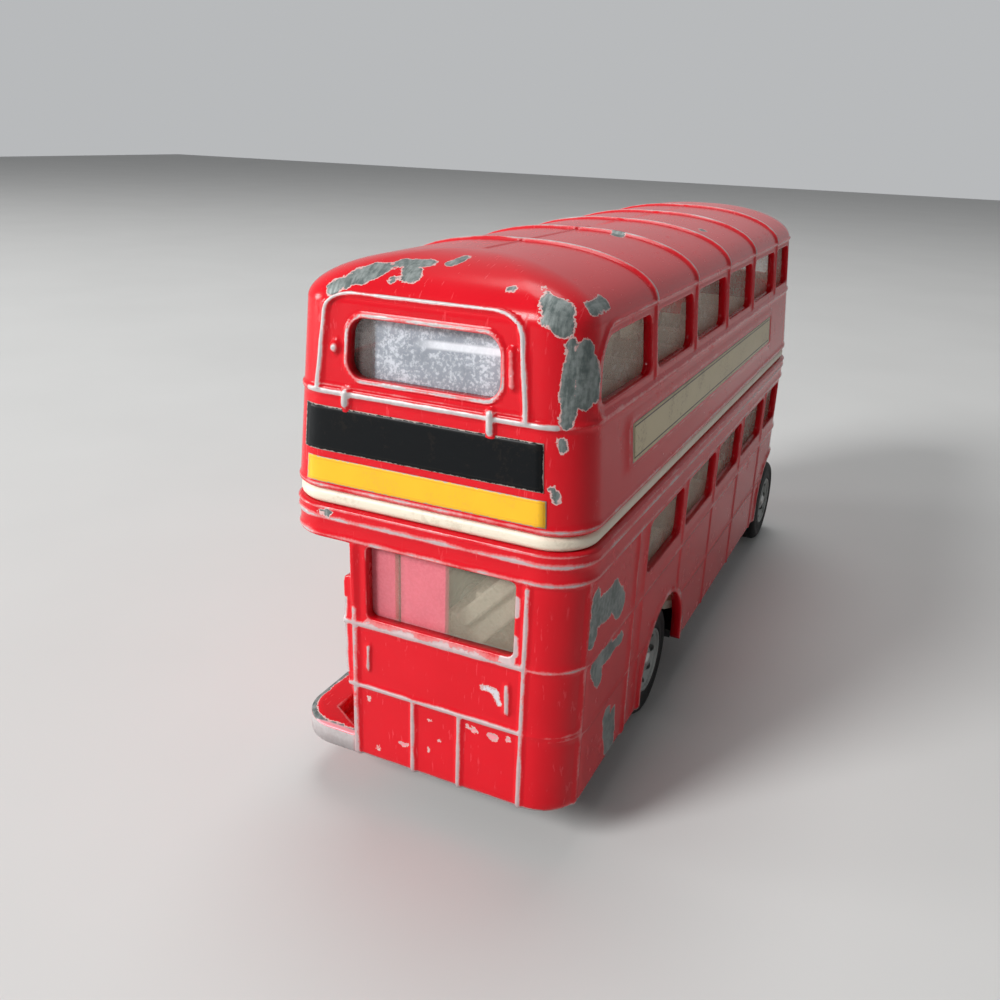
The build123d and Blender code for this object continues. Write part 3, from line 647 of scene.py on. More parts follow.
# %% [markdown]
# ## Upper casting
# The windows sit between pillars that carry on over the roof as thin ribs. The back has an
# emergency door, cast on: a frame line that leans in with the wall, two hinge lugs, a
# round knob and an upright handle, round a window with its own raised rim.

# %% Upper casting's places
PILLARS = (-36.8, -19.15, -1.5, 16.15, 34.5)
PILLAR_W = 2.2
HINGE_Z = 51.4
GUTTER_V = 60.8
UP_WINDOW = (52.9, 59.5)
WINDOW_CORNER = 1.3
REAR_WINDOW = ((-9.95, 9.05), (53.3, 59.6))
QUARTER = (-54.4, PILLARS[0] - PILLAR_W / 2)
FRONT_WINDOWS = ((1.0, 13.5), UP_WINDOW)
DOOR_FOOT, DOOR_HEAD, DOOR_TOP_Z = (-13.9, 12.1), (-13.1, 11.5), 62.2
LUGS = ((-10.05, 50.4, 51.5), (8.0, 50.1, 51.9))
KNOB, HANDLE = (-11.75, 56.25), ((10.35, 58.2), (10.48, 55.0))
BAYS = [(a + PILLAR_W / 2, b - PILLAR_W / 2) for a, b in zip(PILLARS, PILLARS[1:])]
CAB_BAY = (PILLARS[-1] + PILLAR_W / 2, 47.0)
UP_BAYS = BAYS + [CAB_BAY]
PANEL = ((s_at_x(-46.4), s_at_x(32.2)), (43.8, 49.2))


def bay_distance(s, v, bays, v_range):
    """Distance to a row of windows, each between two places on the straight side."""
    return union(*[box_distance(s, v, (s_at_x(start), s_at_x(end)), v_range, WINDOW_CORNER)
                   for start, end in bays])


# %% Openings of the upper casting
def quarter_window(s, v):
    """Rear quarter window: upright at its front, leaning and well rounded at its back."""
    back, front = s_at_x(QUARTER[0]), s_at_x(QUARTER[1])
    walked = np.abs(s)
    fade = np.clip((front - walked) / (front - back), 0, 1.2)
    walked = walked - 0.16 * (v - sum(UP_WINDOW) / 2) * fade
    corner = np.where((walked < (back + front) / 2) & (v > sum(UP_WINDOW) / 2), 3.2, WINDOW_CORNER)
    return box_distance(walked, v, (back, front), UP_WINDOW, corner)


def rear_window(s, v):
    return box_distance(s, v, *REAR_WINDOW, 1.9)


def upper_openings(s, v):
    walked = np.abs(s)
    near, far = FRONT_WINDOWS[0]
    front = (s_at_front(far), s_at_front(near))
    return union(quarter_window(s, v), rear_window(s, v),
                 bay_distance(walked, v, UP_BAYS, UP_WINDOW),
                 box_distance(walked, v, front, FRONT_WINDOWS[1], WINDOW_CORNER))


def door_distance(s, v):
    """Outline of the emergency door, narrower at its head."""
    rise = (v - HINGE_Z) / (DOOR_TOP_Z - HINGE_Z)
    left = DOOR_FOOT[0] + (DOOR_HEAD[0] - DOOR_FOOT[0]) * rise
    right_side = DOOR_FOOT[1] + (DOOR_HEAD[1] - DOOR_FOOT[1]) * rise
    centred = (s - (left + right_side) / 2) / (right_side - left) * (DOOR_FOOT[1] - DOOR_FOOT[0])
    half = (DOOR_FOOT[1] - DOOR_FOOT[0]) / 2
    return box_distance(centred, v, (-half, half), (HINGE_Z - 6, v_at_z(DOOR_TOP_Z) - 0.6), 3.4)


# %% Raised lines of the upper casting
def upper_relief(s, v):
    form = Relief(s, v)
    walked = np.abs(s)
    x = upper_wall(s, v)[..., 0]
    at_back = walked < 15.5
    # Roof ribs, which carry on down the pillars as thinner lines
    for pillar in PILLARS:
        form.bead(x - pillar, 0.50, 0.34, 0.92, v > GUTTER_V)
        form.bead(x - pillar, 0.36, 0.20, 0.35, (v > HINGE_Z + 0.7) & (v <= GUTTER_V))
    # Gutter, which turns down behind the rear quarter window
    quarter = quarter_window(s, v) - (GUTTER_V - UP_WINDOW[1])
    turned = (walked < s_at_x(-48.0)) & ~at_back & (v > HINGE_Z) & (v < GUTTER_V + 0.6)
    form.bead(quarter, 0.42, 0.26, 0.62, turned)
    form.bead(v - GUTTER_V, 0.42, 0.26, 0.62, walked >= s_at_x(-48.0))
    # Waist line, a little bolder on the back where the door hangs
    form.bead(v - HINGE_Z, 0.42, 0.22, 0.62, ~at_back)
    form.bead(v - HINGE_Z, 0.44, 0.34, 1.12, at_back)
    door = door_distance(s, v)
    form.bead(door, 0.48, 0.50, 1.08, at_back & (v > HINGE_Z))
    form.bead(v - HINGE_Z - 0.75, 0.26, 0.16, 0.6, (door < 0) & at_back)
    form.bead(rear_window(s, v) - LIP - 0.12, 0.34, 0.22, 0.86, at_back)
    for hinge, foot, head in LUGS:
        form.bead(line_distance(s, v, (hinge, foot), (hinge, head)), 0.60, 0.66, 1.3)
    form.bead(np.hypot(s - KNOB[0], v - KNOB[1]), 0.72, 0.55, 0.90)
    form.bead(line_distance(s, v, *HANDLE), 0.58, 0.52, 0.78)
    # Frames round the side panels, and a plain box at the front
    form.bead(box_distance(walked, v, *PANEL, 0.3), 0.24, 0.16, 0.55)
    near_front = np.abs(walked - FULL)
    form.bead(box_distance(near_front, v, (-9.5, 9.5), (43.2, 50.0), 0.8), 0.45, 0.35, 0.8)
    # Lower hem
    form.bead(v - BAND_Z - 0.55, 0.40, 0.16, 0.75)
    form.raise_by(-0.22, np.clip(1 - (v - BAND_Z) / 0.3, 0, 1) ** 2)
    return form


# %% [markdown]
# The grid is fine over the back, where the eye and the wear are, and coarse along the plain
# stretches of the sides. Exact lines go through every window edge.

# %% Grid of the upper casting
NOSE_START = s_at_x(36)


def around(edge, inward):
    """Marks at an opening's edge: its lip, and lines that follow its round corner."""
    return [edge - inward * LIP] + [edge + inward * step for step in (0.25, 0.6, 1.0, 1.4)]


def outside_rim(edge, inward):
    """More lines just outside an opening, for a raised rim that follows it."""
    return [edge - inward * (LIP + step) for step in (0.14, 0.28, 0.46)]


def both_ends(marks, span):
    return marks(span[0], 1) + marks(span[1], -1)


def close_lines(middle, reach, step=0.15):
    return list(np.arange(middle - reach, middle + reach + 0.01, step))


def window_marks(bays):
    return sum([both_ends(around, (s_at_x(start), s_at_x(end))) for start, end in bays], [])


def pillar_marks():
    return [s_at_x(pillar) + step for pillar in PILLARS for step in (-0.5, -0.25, 0.0, 0.25, 0.5)]


def s_grid(side_marks, rear_marks, front_marks, fine_end=24.5):
    """Stations round the toy: fine over the back, coarse along the sides, then finer again."""
    zones = [(0, fine_end, 0.32), (fine_end, NOSE_START, 2.4), (NOSE_START, FULL, 0.8)]
    half = grid_lines(zones, list(side_marks) + [s_at_front(y) for y in front_marks])
    lines = np.unique(np.round(np.concatenate([half, -half]), 4))
    marks = np.array(rear_marks)
    clear = np.min(np.abs(lines[:, None] - marks[None, :]), axis=1) > 0.13
    lines = np.unique(np.concatenate([lines[clear], marks]))
    return lines[lines < FULL - 1e-3]


rear_marks, rear_marks_v = (both_ends(around, span) + both_ends(outside_rim, span)
                            for span in REAR_WINDOW)
up_s = s_grid(window_marks([QUARTER] + UP_BAYS) + pillar_marks() + list(PANEL[0]),
              rear_marks + close_lines(KNOB[0], 0.6) + close_lines(LUGS[1][0], 0.45)
              + close_lines(HANDLE[0][0], 0.45), both_ends(around, FRONT_WINDOWS[0]))
dome_top = EAVE_Z + DOME
up_v = grid_lines([(BAND_Z, 42, 0.3), (42, 50.2, 0.8), (50.2, 64.0, 0.32), (64.0, dome_top, 0.7),
                   (dome_top, dome_top + CROWN_HALF, 0.6)],
                  both_ends(around, UP_WINDOW) + rear_marks_v + close_lines(KNOB[1], 0.6)
                  + close_lines(HINGE_Z, 0.45) + [*PANEL[1], GUTTER_V, EAVE_Z, dome_top])
print("Upper grid:", len(up_s), "by", len(up_v))
finish_piece(casting("upper_casting", upper_wall, up_s, up_v, upper_openings, upper_relief),
             RED_ENAMEL, replaces=("upper_body",))

# %% [markdown]
# ## Lower casting
# The back panel is ribbed in rectangles below its window. The platform's corner and the
# space over the bonnet are openings like the windows, only larger, and so are the wheel
# arches, whose sides run straight down from a half circle.

# %% Lower casting's places
SKIRT_REAR, SKIRT = lower_low.z, 7.1
PANEL_Z, SILL_Z, LEDGE_Z = 16.2, 24.4, 34.7
LOW_WINDOW = (26.6, 33.6)
LOW_REAR_WINDOW = ((-7.15, 11.25), (25.35, 34.45))
WINDSCREEN_Y = (1.2, 13.0)
LOBE = ((-10.4, -8.0), (14.2, 30.2))
PLATFORM_WALL_Y, PLATFORM_FRONT = 9.3, -40.6
CAB_BACK, CAB_EDGE, BONNET_Z, BONNET_SIDE = 42.5, 1.5, 24.4, 12.4
CEILING_Z = LEDGE_Z - BEAD
CEILING_THICK = LEDGE_Z + WALL - CEILING_Z
rear_axle_low, rear_axle_high = (Vector(corner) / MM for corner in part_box("rear_axle"))
front_axle_low, front_axle_high = (Vector(corner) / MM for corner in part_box("front_axle"))
REAR_AXLE = (rear_axle_low.x + rear_axle_high.x) / 2
FRONT_AXLE = (front_axle_low.x + front_axle_high.x) / 2
AXLE_Z = (rear_axle_low.z + rear_axle_high.z) / 2
ARCH_Z, ARCH_R, WING_R = AXLE_Z + 1.1, 9.3, 10.7


# %% Openings of the lower casting
def arch_distance(s, v):
    """Wheel arches: half circles with straight sides below, on both sides of the toy."""
    return union(*[np.hypot(np.abs(s) - s_at_x(axle_x), np.maximum(v - ARCH_Z, 0)) - ARCH_R
                   for axle_x in (REAR_AXLE, FRONT_AXLE)])


def low_rear_window(s, v):
    return box_distance(s, v, *LOW_REAR_WINDOW, 0.8)


def lower_openings(s, v):
    walked = np.abs(s)
    windscreen = (s_at_front(WINDSCREEN_Y[1]), s_at_front(WINDSCREEN_Y[0]))
    # Platform corner, less the round-ended lobe that stands out beside the back panel
    corner = box_distance(s, v, (-s_at_x(PLATFORM_FRONT), -PLATFORM_WALL_Y), (-20, CEILING_Z), 0.6)
    lobe = box_distance(s - 0.9 * np.clip((18.5 - v) / 4.3, 0, 1), v, *LOBE, 0.75)
    # Over the bonnet, and beside it down to the wing
    back = -s_at_x(CAB_BACK)
    over = box_distance(s, v, (-s_at_front(CAB_EDGE), back), (BONNET_Z, CEILING_Z), 0.5)
    beside = box_distance(s, v, (-s_at_front(BONNET_SIDE), back), (ARCH_Z, BONNET_Z + 3), 0.3)
    x = lower_wall(s, v)[..., 0]
    return union(arch_distance(s, v), np.maximum(v - SKIRT, s_at_x(REAR_AXLE) - walked),
                 bay_distance(walked, v, BAYS, LOW_WINDOW),
                 bay_distance(s, v, [CAB_BAY], LOW_WINDOW),
                 box_distance(s, v, windscreen, LOW_WINDOW, WINDOW_CORNER),
                 low_rear_window(s, v), np.maximum(corner, -lobe), over,
                 np.maximum(beside, WING_R - np.hypot(x - FRONT_AXLE, v - ARCH_Z)))


# %% Raised lines of the lower casting
def lower_relief(s, v):
    form = Relief(s, v)
    walked = np.abs(s)
    at_back = walked < 15.5
    corner = (s > 12.6) & (s < 19.6)
    # The top band stands a little proud of the panels below it
    form.raise_by(0.14, np.clip((v - LEDGE_Z + 0.5) / 0.5, 0, 1))
    # Level lines: height above the ground, half width, height, rubbing and where it runs
    back, side = at_back & ~corner, ~at_back & ~corner
    for level, half_width, height, rubbed, where in (
            (LEDGE_Z + 0.1, 0.42, 0.35, 0.72, True), (36.9, 0.42, 0.35, 0.85, True),
            (38.0, 0.36, 0.33, 0.62, True), (SILL_Z, 0.42, 0.34, 1.08, back),
            (SILL_Z, 0.36, 0.20, 0.75, corner), (SILL_Z, 0.40, 0.24, 0.60, side),
            (PANEL_Z, 0.42, 0.32, 1.1, back), (PANEL_Z, 0.34, 0.16, 0.5, corner),
            (PANEL_Z - 0.6, 0.40, 0.22, 0.5, ~at_back & (walked < s_at_front(14.4)))):
        form.bead(v - level, half_width, height, rubbed, where)
    # Upright lines: station, foot, head, height and rubbing
    platform_end = s_at_x(PLATFORM_FRONT)
    for station, foot, head, height, rubbed in (
            (12.6, 5, 33.9, 0.33, 1.08), (-8.9, 5, 26.2, 0.33, 1.1), (-8.9, 27, 34.6, 0.33, 0.4),
            (-1.15, 5, PANEL_Z, 0.33, 1.1), (4.9, 5, PANEL_Z, 0.33, 1.1),
            (19.7, 5, 34.6, 0.24, 0.6), (platform_end, 5, 34.6, 0.24, 0.6)):
        form.bead(line_distance(s, v, (station, foot), (station, head)), 0.42, height, rubbed)
    x = lower_wall(s, v)[..., 0]
    for pillar in PILLARS:
        form.bead(x - pillar, 0.32, 0.18, 0.35, ~at_back & (v > SKIRT) & (v < LEDGE_Z))
    form.bead(arch_distance(s, v) - LIP - 0.30, 0.50, 0.34, 0.85, v < 19.5)
    # Small cast-on bars of the back panel
    form.bead(line_distance(s, v, (-7.05, 21.7), (-7.12, 18.7)), 0.36, 0.35, 1.0)
    form.bead(line_distance(s, v, (10.68, 21.7), (10.84, 18.4)), 0.42, 0.35, 1.15)
    # The rear window's rim is rubbed bare at its right end
    rim = low_rear_window(s, v) - LIP
    form.bead(rim, 0.22, 0.10, 0.62, v < 26)
    form.bead(rim, 0.30, 0.10, 0.35, v >= 26)
    form.bead(rim, 0.55, 0.12, 1.25, (s > 9.6) & ((v < 28.2) | ((v > 30.5) & (v < 32.8))))
    # The lobe's free edge
    form.rub((s < -9.95) & (s > -10.9) & (v < 27.5) & (v > 14))
    # Hems at the skirt and at the rim
    skirt = np.where(walked > s_at_x(REAR_AXLE), SKIRT, SKIRT_REAR)
    form.rub(np.where(at_back, 1.25, 0.9) * np.clip(1 - (v - skirt) / 0.45, 0, 1))
    form.raise_by(-0.20, np.clip(1 - (v - SKIRT_REAR) / 0.3, 0, 1) ** 2)
    form.raise_by(-0.25, np.clip(1 - (RIM_Z - v) / 0.3, 0, 1) ** 2)
    return form


# %% Grid of the lower casting
low_side = window_marks(UP_BAYS) + pillar_marks()
for axle_x in (REAR_AXLE, FRONT_AXLE):
    low_side += [s_at_x(axle_x) + side * (ARCH_R + step) for side in (-1, 1)
                 for step in (LIP, 0.5, 0.8)]
    low_side += [s_at_x(axle_x) + ARCH_R * math.sin(math.radians(turn))
                 for turn in range(-84, 85, 7)]
low_side += close_lines(s_at_x(PLATFORM_FRONT), 0.4, 0.2)
low_s = s_grid(low_side, both_ends(around, LOW_REAR_WINDOW[0])
               + [-PLATFORM_WALL_Y + LIP, -s_at_x(PLATFORM_FRONT) - LIP, -s_at_x(CAB_BACK) + LIP]
               + [-s_at_front(CAB_EDGE) - LIP, -s_at_front(BONNET_SIDE) - LIP, -10.62, -10.3],
               both_ends(around, WINDSCREEN_Y), 34.0)
low_v = grid_lines([(SKIRT_REAR, 16, 0.5), (16, 20, 0.36), (20, RIM_Z, 0.42)],
                   both_ends(around, LOW_WINDOW) + both_ends(around, LOW_REAR_WINDOW[1])
                   + [PANEL_Z, SILL_Z, SILL_Z - 0.22, SILL_Z + 0.22, SKIRT + LIP, BONNET_Z - LIP,
                      CEILING_Z + LIP, LEDGE_Z + 0.1, 36.7, 36.9, 37.1, 38.0]
                   + [ARCH_Z + ARCH_R * math.sin(math.radians(turn)) for turn in (60, 75, 90)])
print("Lower grid:", len(low_s), "by", len(low_v))
finish_piece(casting("lower_casting", lower_wall, low_s, low_v, lower_openings, lower_relief),
             RED_ENAMEL, replaces=("lower_body",))

# %% [markdown]
# ## The platform and the inner walls
# The platform is a thick slab whose outer edge has lost all its paint. The grid builder makes
# it too: its wall is now a level sheet, named by x and y, and all that lies outside the
# plan's corner counts as opening. The same goes for the upright walls behind it.

# %% Level and upright sheets
PLATFORM_THICK = 2.8
PLATFORM_Z = SKIRT_REAR + PLATFORM_THICK


def level_sheet(z):
    return lambda s, v: np.stack([s + 0 * v, v + 0 * s, z + 0 * s], axis=-1)


def upright_along(y):
    """Sheet in the x-z plane that faces +Y; its s runs backwards so that it faces out."""
    return lambda s, v: np.stack([-s + 0 * v, y + 0 * s, v + 0 * s], axis=-1)


def upright_across(x):
    """Sheet in the y-z plane that faces -X."""
    return lambda s, v: np.stack([x + 0 * s, -s + 0 * v, v + 0 * s], axis=-1)


def edge_relief(distance, width, rubbed):
    """Wear that fades in towards the edge of a sheet."""
    def relief(s, v):
        form = Relief(s, v)
        form.worn = rubbed * np.clip(1 - np.abs(distance(s, v)) / width, 0, 1)
        return form
    return relief


def plan_distance(x, y, inset=0.0):
    """Distance to the castings' plan, drawn in by an inset, negative within it."""
    half = HALF_W - inset
    bow_r, bow_c, arc_r, arc_x, lean = front_shape(half, FRONT_X - inset)
    aside = np.abs(y) - half + arc_r
    nose = np.maximum(np.hypot(x - bow_c, y) - bow_r, np.abs(y) - half)
    turning = (x > arc_x) & (aside > 0) & (np.arctan2(aside, np.maximum(x - arc_x, 1e-6)) > lean)
    ahead = np.where(turning, np.hypot(x - arc_x, aside) - arc_r, nose)
    behind = box_distance(x, y, (REAR_X + inset, 99), (-half, half), REAR_CORNER - inset)
    return np.maximum(ahead, behind)


def sheet(name, wall, s_range, v_range, steps, opening, relief, marks=((), ()), **sizes):
    """Casting that doesn't go round the toy, on an even grid with more lines at the marks."""
    lines = [grid_lines([(*span, step)], [*span, *more])
             for span, step, more in zip((s_range, v_range), steps, marks)]
    return casting(name, wall, *lines, opening, relief, loop=False, **sizes)


# %% Platform
def platform_outline(x, y):
    corner = np.where((x < -50) & (y > 9), REAR_CORNER, 0.3)
    box = box_distance(x, y, (REAR_X, PLATFORM_FRONT + WALL), (0.0, HALF_W), corner)
    return np.maximum(box, PLATFORM_WALL_Y - WALL - y)


def platform_pit(x, y):
    beside_rim = (x + 56.2) * -0.854 + (y - 14.1) * 0.521
    return np.maximum(box_distance(x, y, (-58.6, -50.0), (9.6, 14.2), 0.6), beside_rim)


def platform_relief(x, y):
    form = Relief(x, y)
    outer = (y > PLATFORM_WALL_Y) & (x > REAR_X - 1)
    form.worn = 0.62 * np.clip(1 - platform_pit(x, y) / 0.5, 0, 1)
    form.height = -0.42 * np.clip(1 + platform_outline(x, y) / 1.0, 0, 1) * outer
    return form


platform = sheet("platform", level_sheet(PLATFORM_Z), (REAR_X, PLATFORM_FRONT + WALL),
                 (PLATFORM_WALL_Y - WALL, HALF_W), (0.4, 0.35),
                 lambda x, y: union(-platform_outline(x, y), platform_pit(x, y)),
                 platform_relief, thick=PLATFORM_THICK, lip=0.3)
finish_piece(platform, RED_ENAMEL)
# Its bevelled rim is bare zinc, and its side is polished by hands
x, y, z = places(platform.data).T
edge = np.where(y > PLATFORM_WALL_Y - 0.2, -platform_outline(x, y), 5.0)
store(platform.data, "chip", np.where(z > PLATFORM_Z - 0.5, edge - 0.70, 5.0))
store(platform.data, "worn", np.where((edge < 0.36) & (z < PLATFORM_Z - 0.5), 1.8, np.where(
    platform_pit(x, y) < 0.45, 0.62, 0.0)))

# %% The pit's floor, and the walls and ceiling of the platform
def wall_panel(name, wall, s_range, v_range, window=None, cut=no_opening, **sizes):
    """Flat cast panel, with a window in it or cut by another outline if one is given."""
    marks = [both_ends(around, span) for span in window] if window else ((), ())

    def outside(s, v):
        hole = box_distance(s, v, *window, 0.7) if window else cut(s, v)
        return union(-box_distance(s, v, s_range, v_range, 0.25), hole)

    finish_piece(sheet(name, wall, s_range, v_range, (0.9, 0.9), outside,
                       edge_relief(outside, 0.5, 0.5), marks, lip=0.2, **sizes), RED_ENAMEL)


wall_panel("pit_floor", level_sheet(SKIRT_REAR + 1.0), (-58.8, -49.6), (9.3, 14.6), thick=0.8)
full_height = (SKIRT_REAR + 0.2, LEDGE_Z)
# The platform wall's inner face is given worn, paler paint as painted light: it stands for light
# falling on the face seen through the lower back window.
wall_panel("platform_wall", upright_along(PLATFORM_WALL_Y),
           (-PLATFORM_FRONT - WALL, -REAR_X - 0.6), full_height, ((51.1, 52.3), (19.0, 33.6)),
           inside=0.62)
wall_panel("saloon_end_wall", upright_across(PLATFORM_FRONT),
           (-HALF_W + 0.6, -PLATFORM_WALL_Y + 0.5), full_height)
wall_panel("platform_ceiling", level_sheet(LEDGE_Z + WALL), (REAR_X + 0.6, PLATFORM_FRONT + WALL),
           (PLATFORM_WALL_Y - WALL, HALF_W - 0.6), cut=lambda x, y: -plan_distance(x, y, 0.6),
           thick=CEILING_THICK)

# %% [markdown]
# The front corner over the bonnet is open in the same way. The driver sits on the other side,
# so the bonnet gets a top and a side, the cab a side with a window, the saloon a bulkhead. The
# wing is the grid builder's again: its wall is a half barrel over the wheel.

# %% Bonnet, wing, cab side and bulkhead


def bonnet_sheet(name, z, thick, y_from, y_to):
    def outside(x, y):
        return -np.maximum.reduce([plan_distance(x, y, 0.6), CAB_BACK - x, y_from - y, y - y_to])

    def hinge_line(x, y):
        form = edge_relief(outside, 0.5, 0.4)(x, y)
        if y_to < HALF_W - 1:
            form.bead(y - (CAB_EDGE + y_to) / 2, 0.4, 0.2, 0.6)
        return form

    finish_piece(sheet(name, level_sheet(z), (CAB_BACK, FRONT_X), (y_from, y_to), (0.5, 0.4),
                       outside, hinge_line, thick=thick, lip=0.1), RED_ENAMEL)


bonnet_sheet("bonnet_top", BONNET_Z, WALL, CAB_EDGE - WALL, BONNET_SIDE)
bonnet_sheet("bonnet_ceiling", LEDGE_Z + WALL, CEILING_THICK, CAB_EDGE - WALL, HALF_W - 0.6)
wall_panel("bonnet_side", upright_along(BONNET_SIDE - 0.06),
           (-x_at_front(BONNET_SIDE) + 0.4, -CAB_BACK), (ARCH_Z, BONNET_Z - WALL + 0.3),
           cut=lambda s, v: np.hypot(s + FRONT_AXLE, v - ARCH_Z) - WING_R + 0.7)
wall_panel("cab_side", upright_along(CAB_EDGE), (-FRONT_X + 0.5, -CAB_BACK),
           (BONNET_Z - 0.4, LEDGE_Z), ((-57.0, -45.5), LOW_WINDOW))
wall_panel("bulkhead", upright_across(CAB_BACK), (-HALF_W + 0.6, -CAB_EDGE + WALL),
           (ARCH_Z + ARCH_R - WALL, LEDGE_Z), ((-15.5, -3.5), LOW_WINDOW))


def wing_wall(s, v):
    turn = s / WING_R
    return np.stack([FRONT_AXLE + WING_R * np.sin(turn), v + 0 * turn,
                     ARCH_Z + WING_R * np.cos(turn)], -1)


def beyond_wing(s, v):
    x, y = wing_wall(s, v)[..., 0], v
    return -np.maximum.reduce([plan_distance(x, y, 0.25), CAB_BACK - x, BONNET_SIDE - WALL - y])


wing = sheet("wing", wing_wall, (-6.6, WING_R * math.pi / 2), (BONNET_SIDE - WALL, HALF_W),
             (0.4, 0.4), beyond_wing, edge_relief(beyond_wing, 0.6, 0.85),
             thick=WING_R - ARCH_R, lip=0.2)
finish_piece(wing, RED_ENAMEL)

# %% [markdown]
# ## Cream moulding between the castings
# One moulding is the upper deck's floor and seats, and its rim shows as the cream line round
# the toy. A second one is the lower saloon's floor, with seats and the stairs. The plastic is
# shiny and a little yellowed, with dirt where fingers don't reach.

# %% Moulded plastic


def moulded(name, pale, dark, gloss=0.3, speckle=0.0):
    finish = Finish(name, Specular_IOR_Level=0.45)
    cloudy = finish.noise(0.18, 3.0)
    grain = finish.noise(2.0, 3.0, 0.6)
    grime = finish.step(grain + (cloudy - 0.5) * 1.2, 0.58, 0.80)
    colour = finish.blend(cloudy, pale, tuple(0.92 * value for value in pale[:3]) + (1,))
    return finish.feed(Base_Color=finish.blend(grime * (0.30 + speckle), colour, dark),
                       Roughness=gloss + grain * 0.18,
                       Normal=finish.bump(grain, 0.05, 0.35))


CREAM = moulded("cream_plastic", (0.80, 0.72, 0.58, 1), (0.42, 0.34, 0.24, 1))

# %% Outlines drawn out


def drawn_out(name, corners, radius, span, along_x=False, bevel_mm=0.3):
    """Outline with round corners, drawn in x and z and drawn out along y, or in y and z along x."""
    outline = []
    for i, corner in enumerate(corners):
        here = Vector(corner)
        back, on = Vector(corners[i - 1]) - here, Vector(corners[(i + 1) % len(corners)]) - here
        reach = min(radius, back.length / 2.1, on.length / 2.1)
        start, end = here + back.normalized() * reach, here + on.normalized() * reach
        for share in (0, 0.25, 0.5, 0.75, 1):
            outline.append(start.lerp(here, share).lerp(here.lerp(end, share), share))
    work = bmesh.new()
    rings = []
    for out in span:
        rings.append([work.verts.new(Vector((out, a, b) if along_x else (a, out, b)) * MM)
                      for a, b in outline])
    caps = [work.faces.new(ring) for ring in rings]
    for i in range(len(outline)):
        work.faces.new((rings[0][i - 1], rings[0][i], rings[1][i], rings[1][i - 1]))
    for face in work.faces:
        face.smooth = face not in caps
    bmesh.ops.recalc_face_normals(work, faces=work.faces)
    bmesh.ops.bevel(work, geom=[edge for cap in caps for edge in cap.edges], offset=bevel_mm * MM,
                    segments=2, profile=0.5, affect="EDGES", clamp_overlap=True)
    return object_from(work, name)


def join(name, parts):
    """Make one object of several."""
    work = bmesh.new()
    for part in parts:
        work.from_mesh(part.data)
        bpy.data.objects.remove(part)
    return object_from(work, name)


# %% Seats
SEAT_W, AISLE_W, SEAT_DEPTH, SEAT_BACK, CUSHION_H, BACK_H = 11.0, 7.0, 4.2, 1.1, 2.6, 10.8
SEAT_PITCH = 12.0


def seat_rows(first_x, count, floor_z):
    """A bench on each side of the aisle in each row: an L-shaped outline drawn out."""
    benches = []
    for row in range(count):
        front = first_x + row * SEAT_PITCH + SEAT_DEPTH / 2
        back = front - SEAT_DEPTH
        outline = [(x, floor_z + z) for x, z in (
            (back - SEAT_BACK, -0.3), (front, -0.3), (front, CUSHION_H), (back, CUSHION_H - 0.3),
            (back - 0.2, BACK_H), (back - SEAT_BACK, BACK_H))]
        for side in (-1, 1):
            span = (side * AISLE_W / 2, side * (AISLE_W / 2 + SEAT_W))
            benches.append(drawn_out("bench", outline, 0.6, span))
    return benches


def band_relief(s, v):
    """The rim's edge is a soft round, so a dark line shows above and below it."""
    form = Relief(s, v)
    middle = (BAND_Z + RIM_Z) / 2
    form.height = -0.12 - 0.55 * np.clip(np.abs(v - middle) / ((BAND_Z - RIM_Z) / 2), 0, 1) ** 3
    return form


band_s = grid_lines([(0, 24.5, 0.8), (24.5, NOSE_START, 3.0), (NOSE_START, FULL, 0.8)], [0.0])
band_s = np.unique(np.concatenate([band_s, -band_s]))
ROUND = (-2 * FULL, FULL - 1e-3)
cream_band = casting("cream_band", lower_wall, band_s[band_s < ROUND[1]],
                     np.linspace(RIM_Z - 0.02, BAND_Z + 0.02, 9), no_opening,
                     band_relief, thick=2.2)
STAIR_X, STAIR_Y, STEPS, RUN, RISE = (-55.5, -47.0), 8.15, 7, 3.1, 3.3
STAIR_TOP_Y = STAIR_Y - STEPS * RUN
FLOOR_THICK = 1.4


def floor_sheet(name, top_z, inset, x_end, holes):
    """Level floor that follows the plan of the castings, with holes through it."""
    def outside(x, y):
        return union(-np.maximum(plan_distance(x, y, inset), x - x_end), *[
            box_distance(x, y, *hole, 0.3) for hole in holes])

    floor = sheet(name, level_sheet(top_z), (REAR_X, min(x_end, FRONT_X)), (-HALF_W, HALF_W),
                  (1.5, 1.2), outside, Relief, thick=FLOOR_THICK, lip=0.2)
    return finish_piece(floor, CREAM)


finish_piece(cream_band, CREAM)
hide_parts("upper_deck_moulding")
floor_sheet("upper_floor", BAND_Z - 0.2, 1.6, 99, [(STAIR_X, (STAIR_TOP_Y - RUN / 2, 4.0))])
finish_piece(join("upper_seats", seat_rows(PILLARS[0] + 4.0, 7, BAND_Z - 0.2)), CREAM)

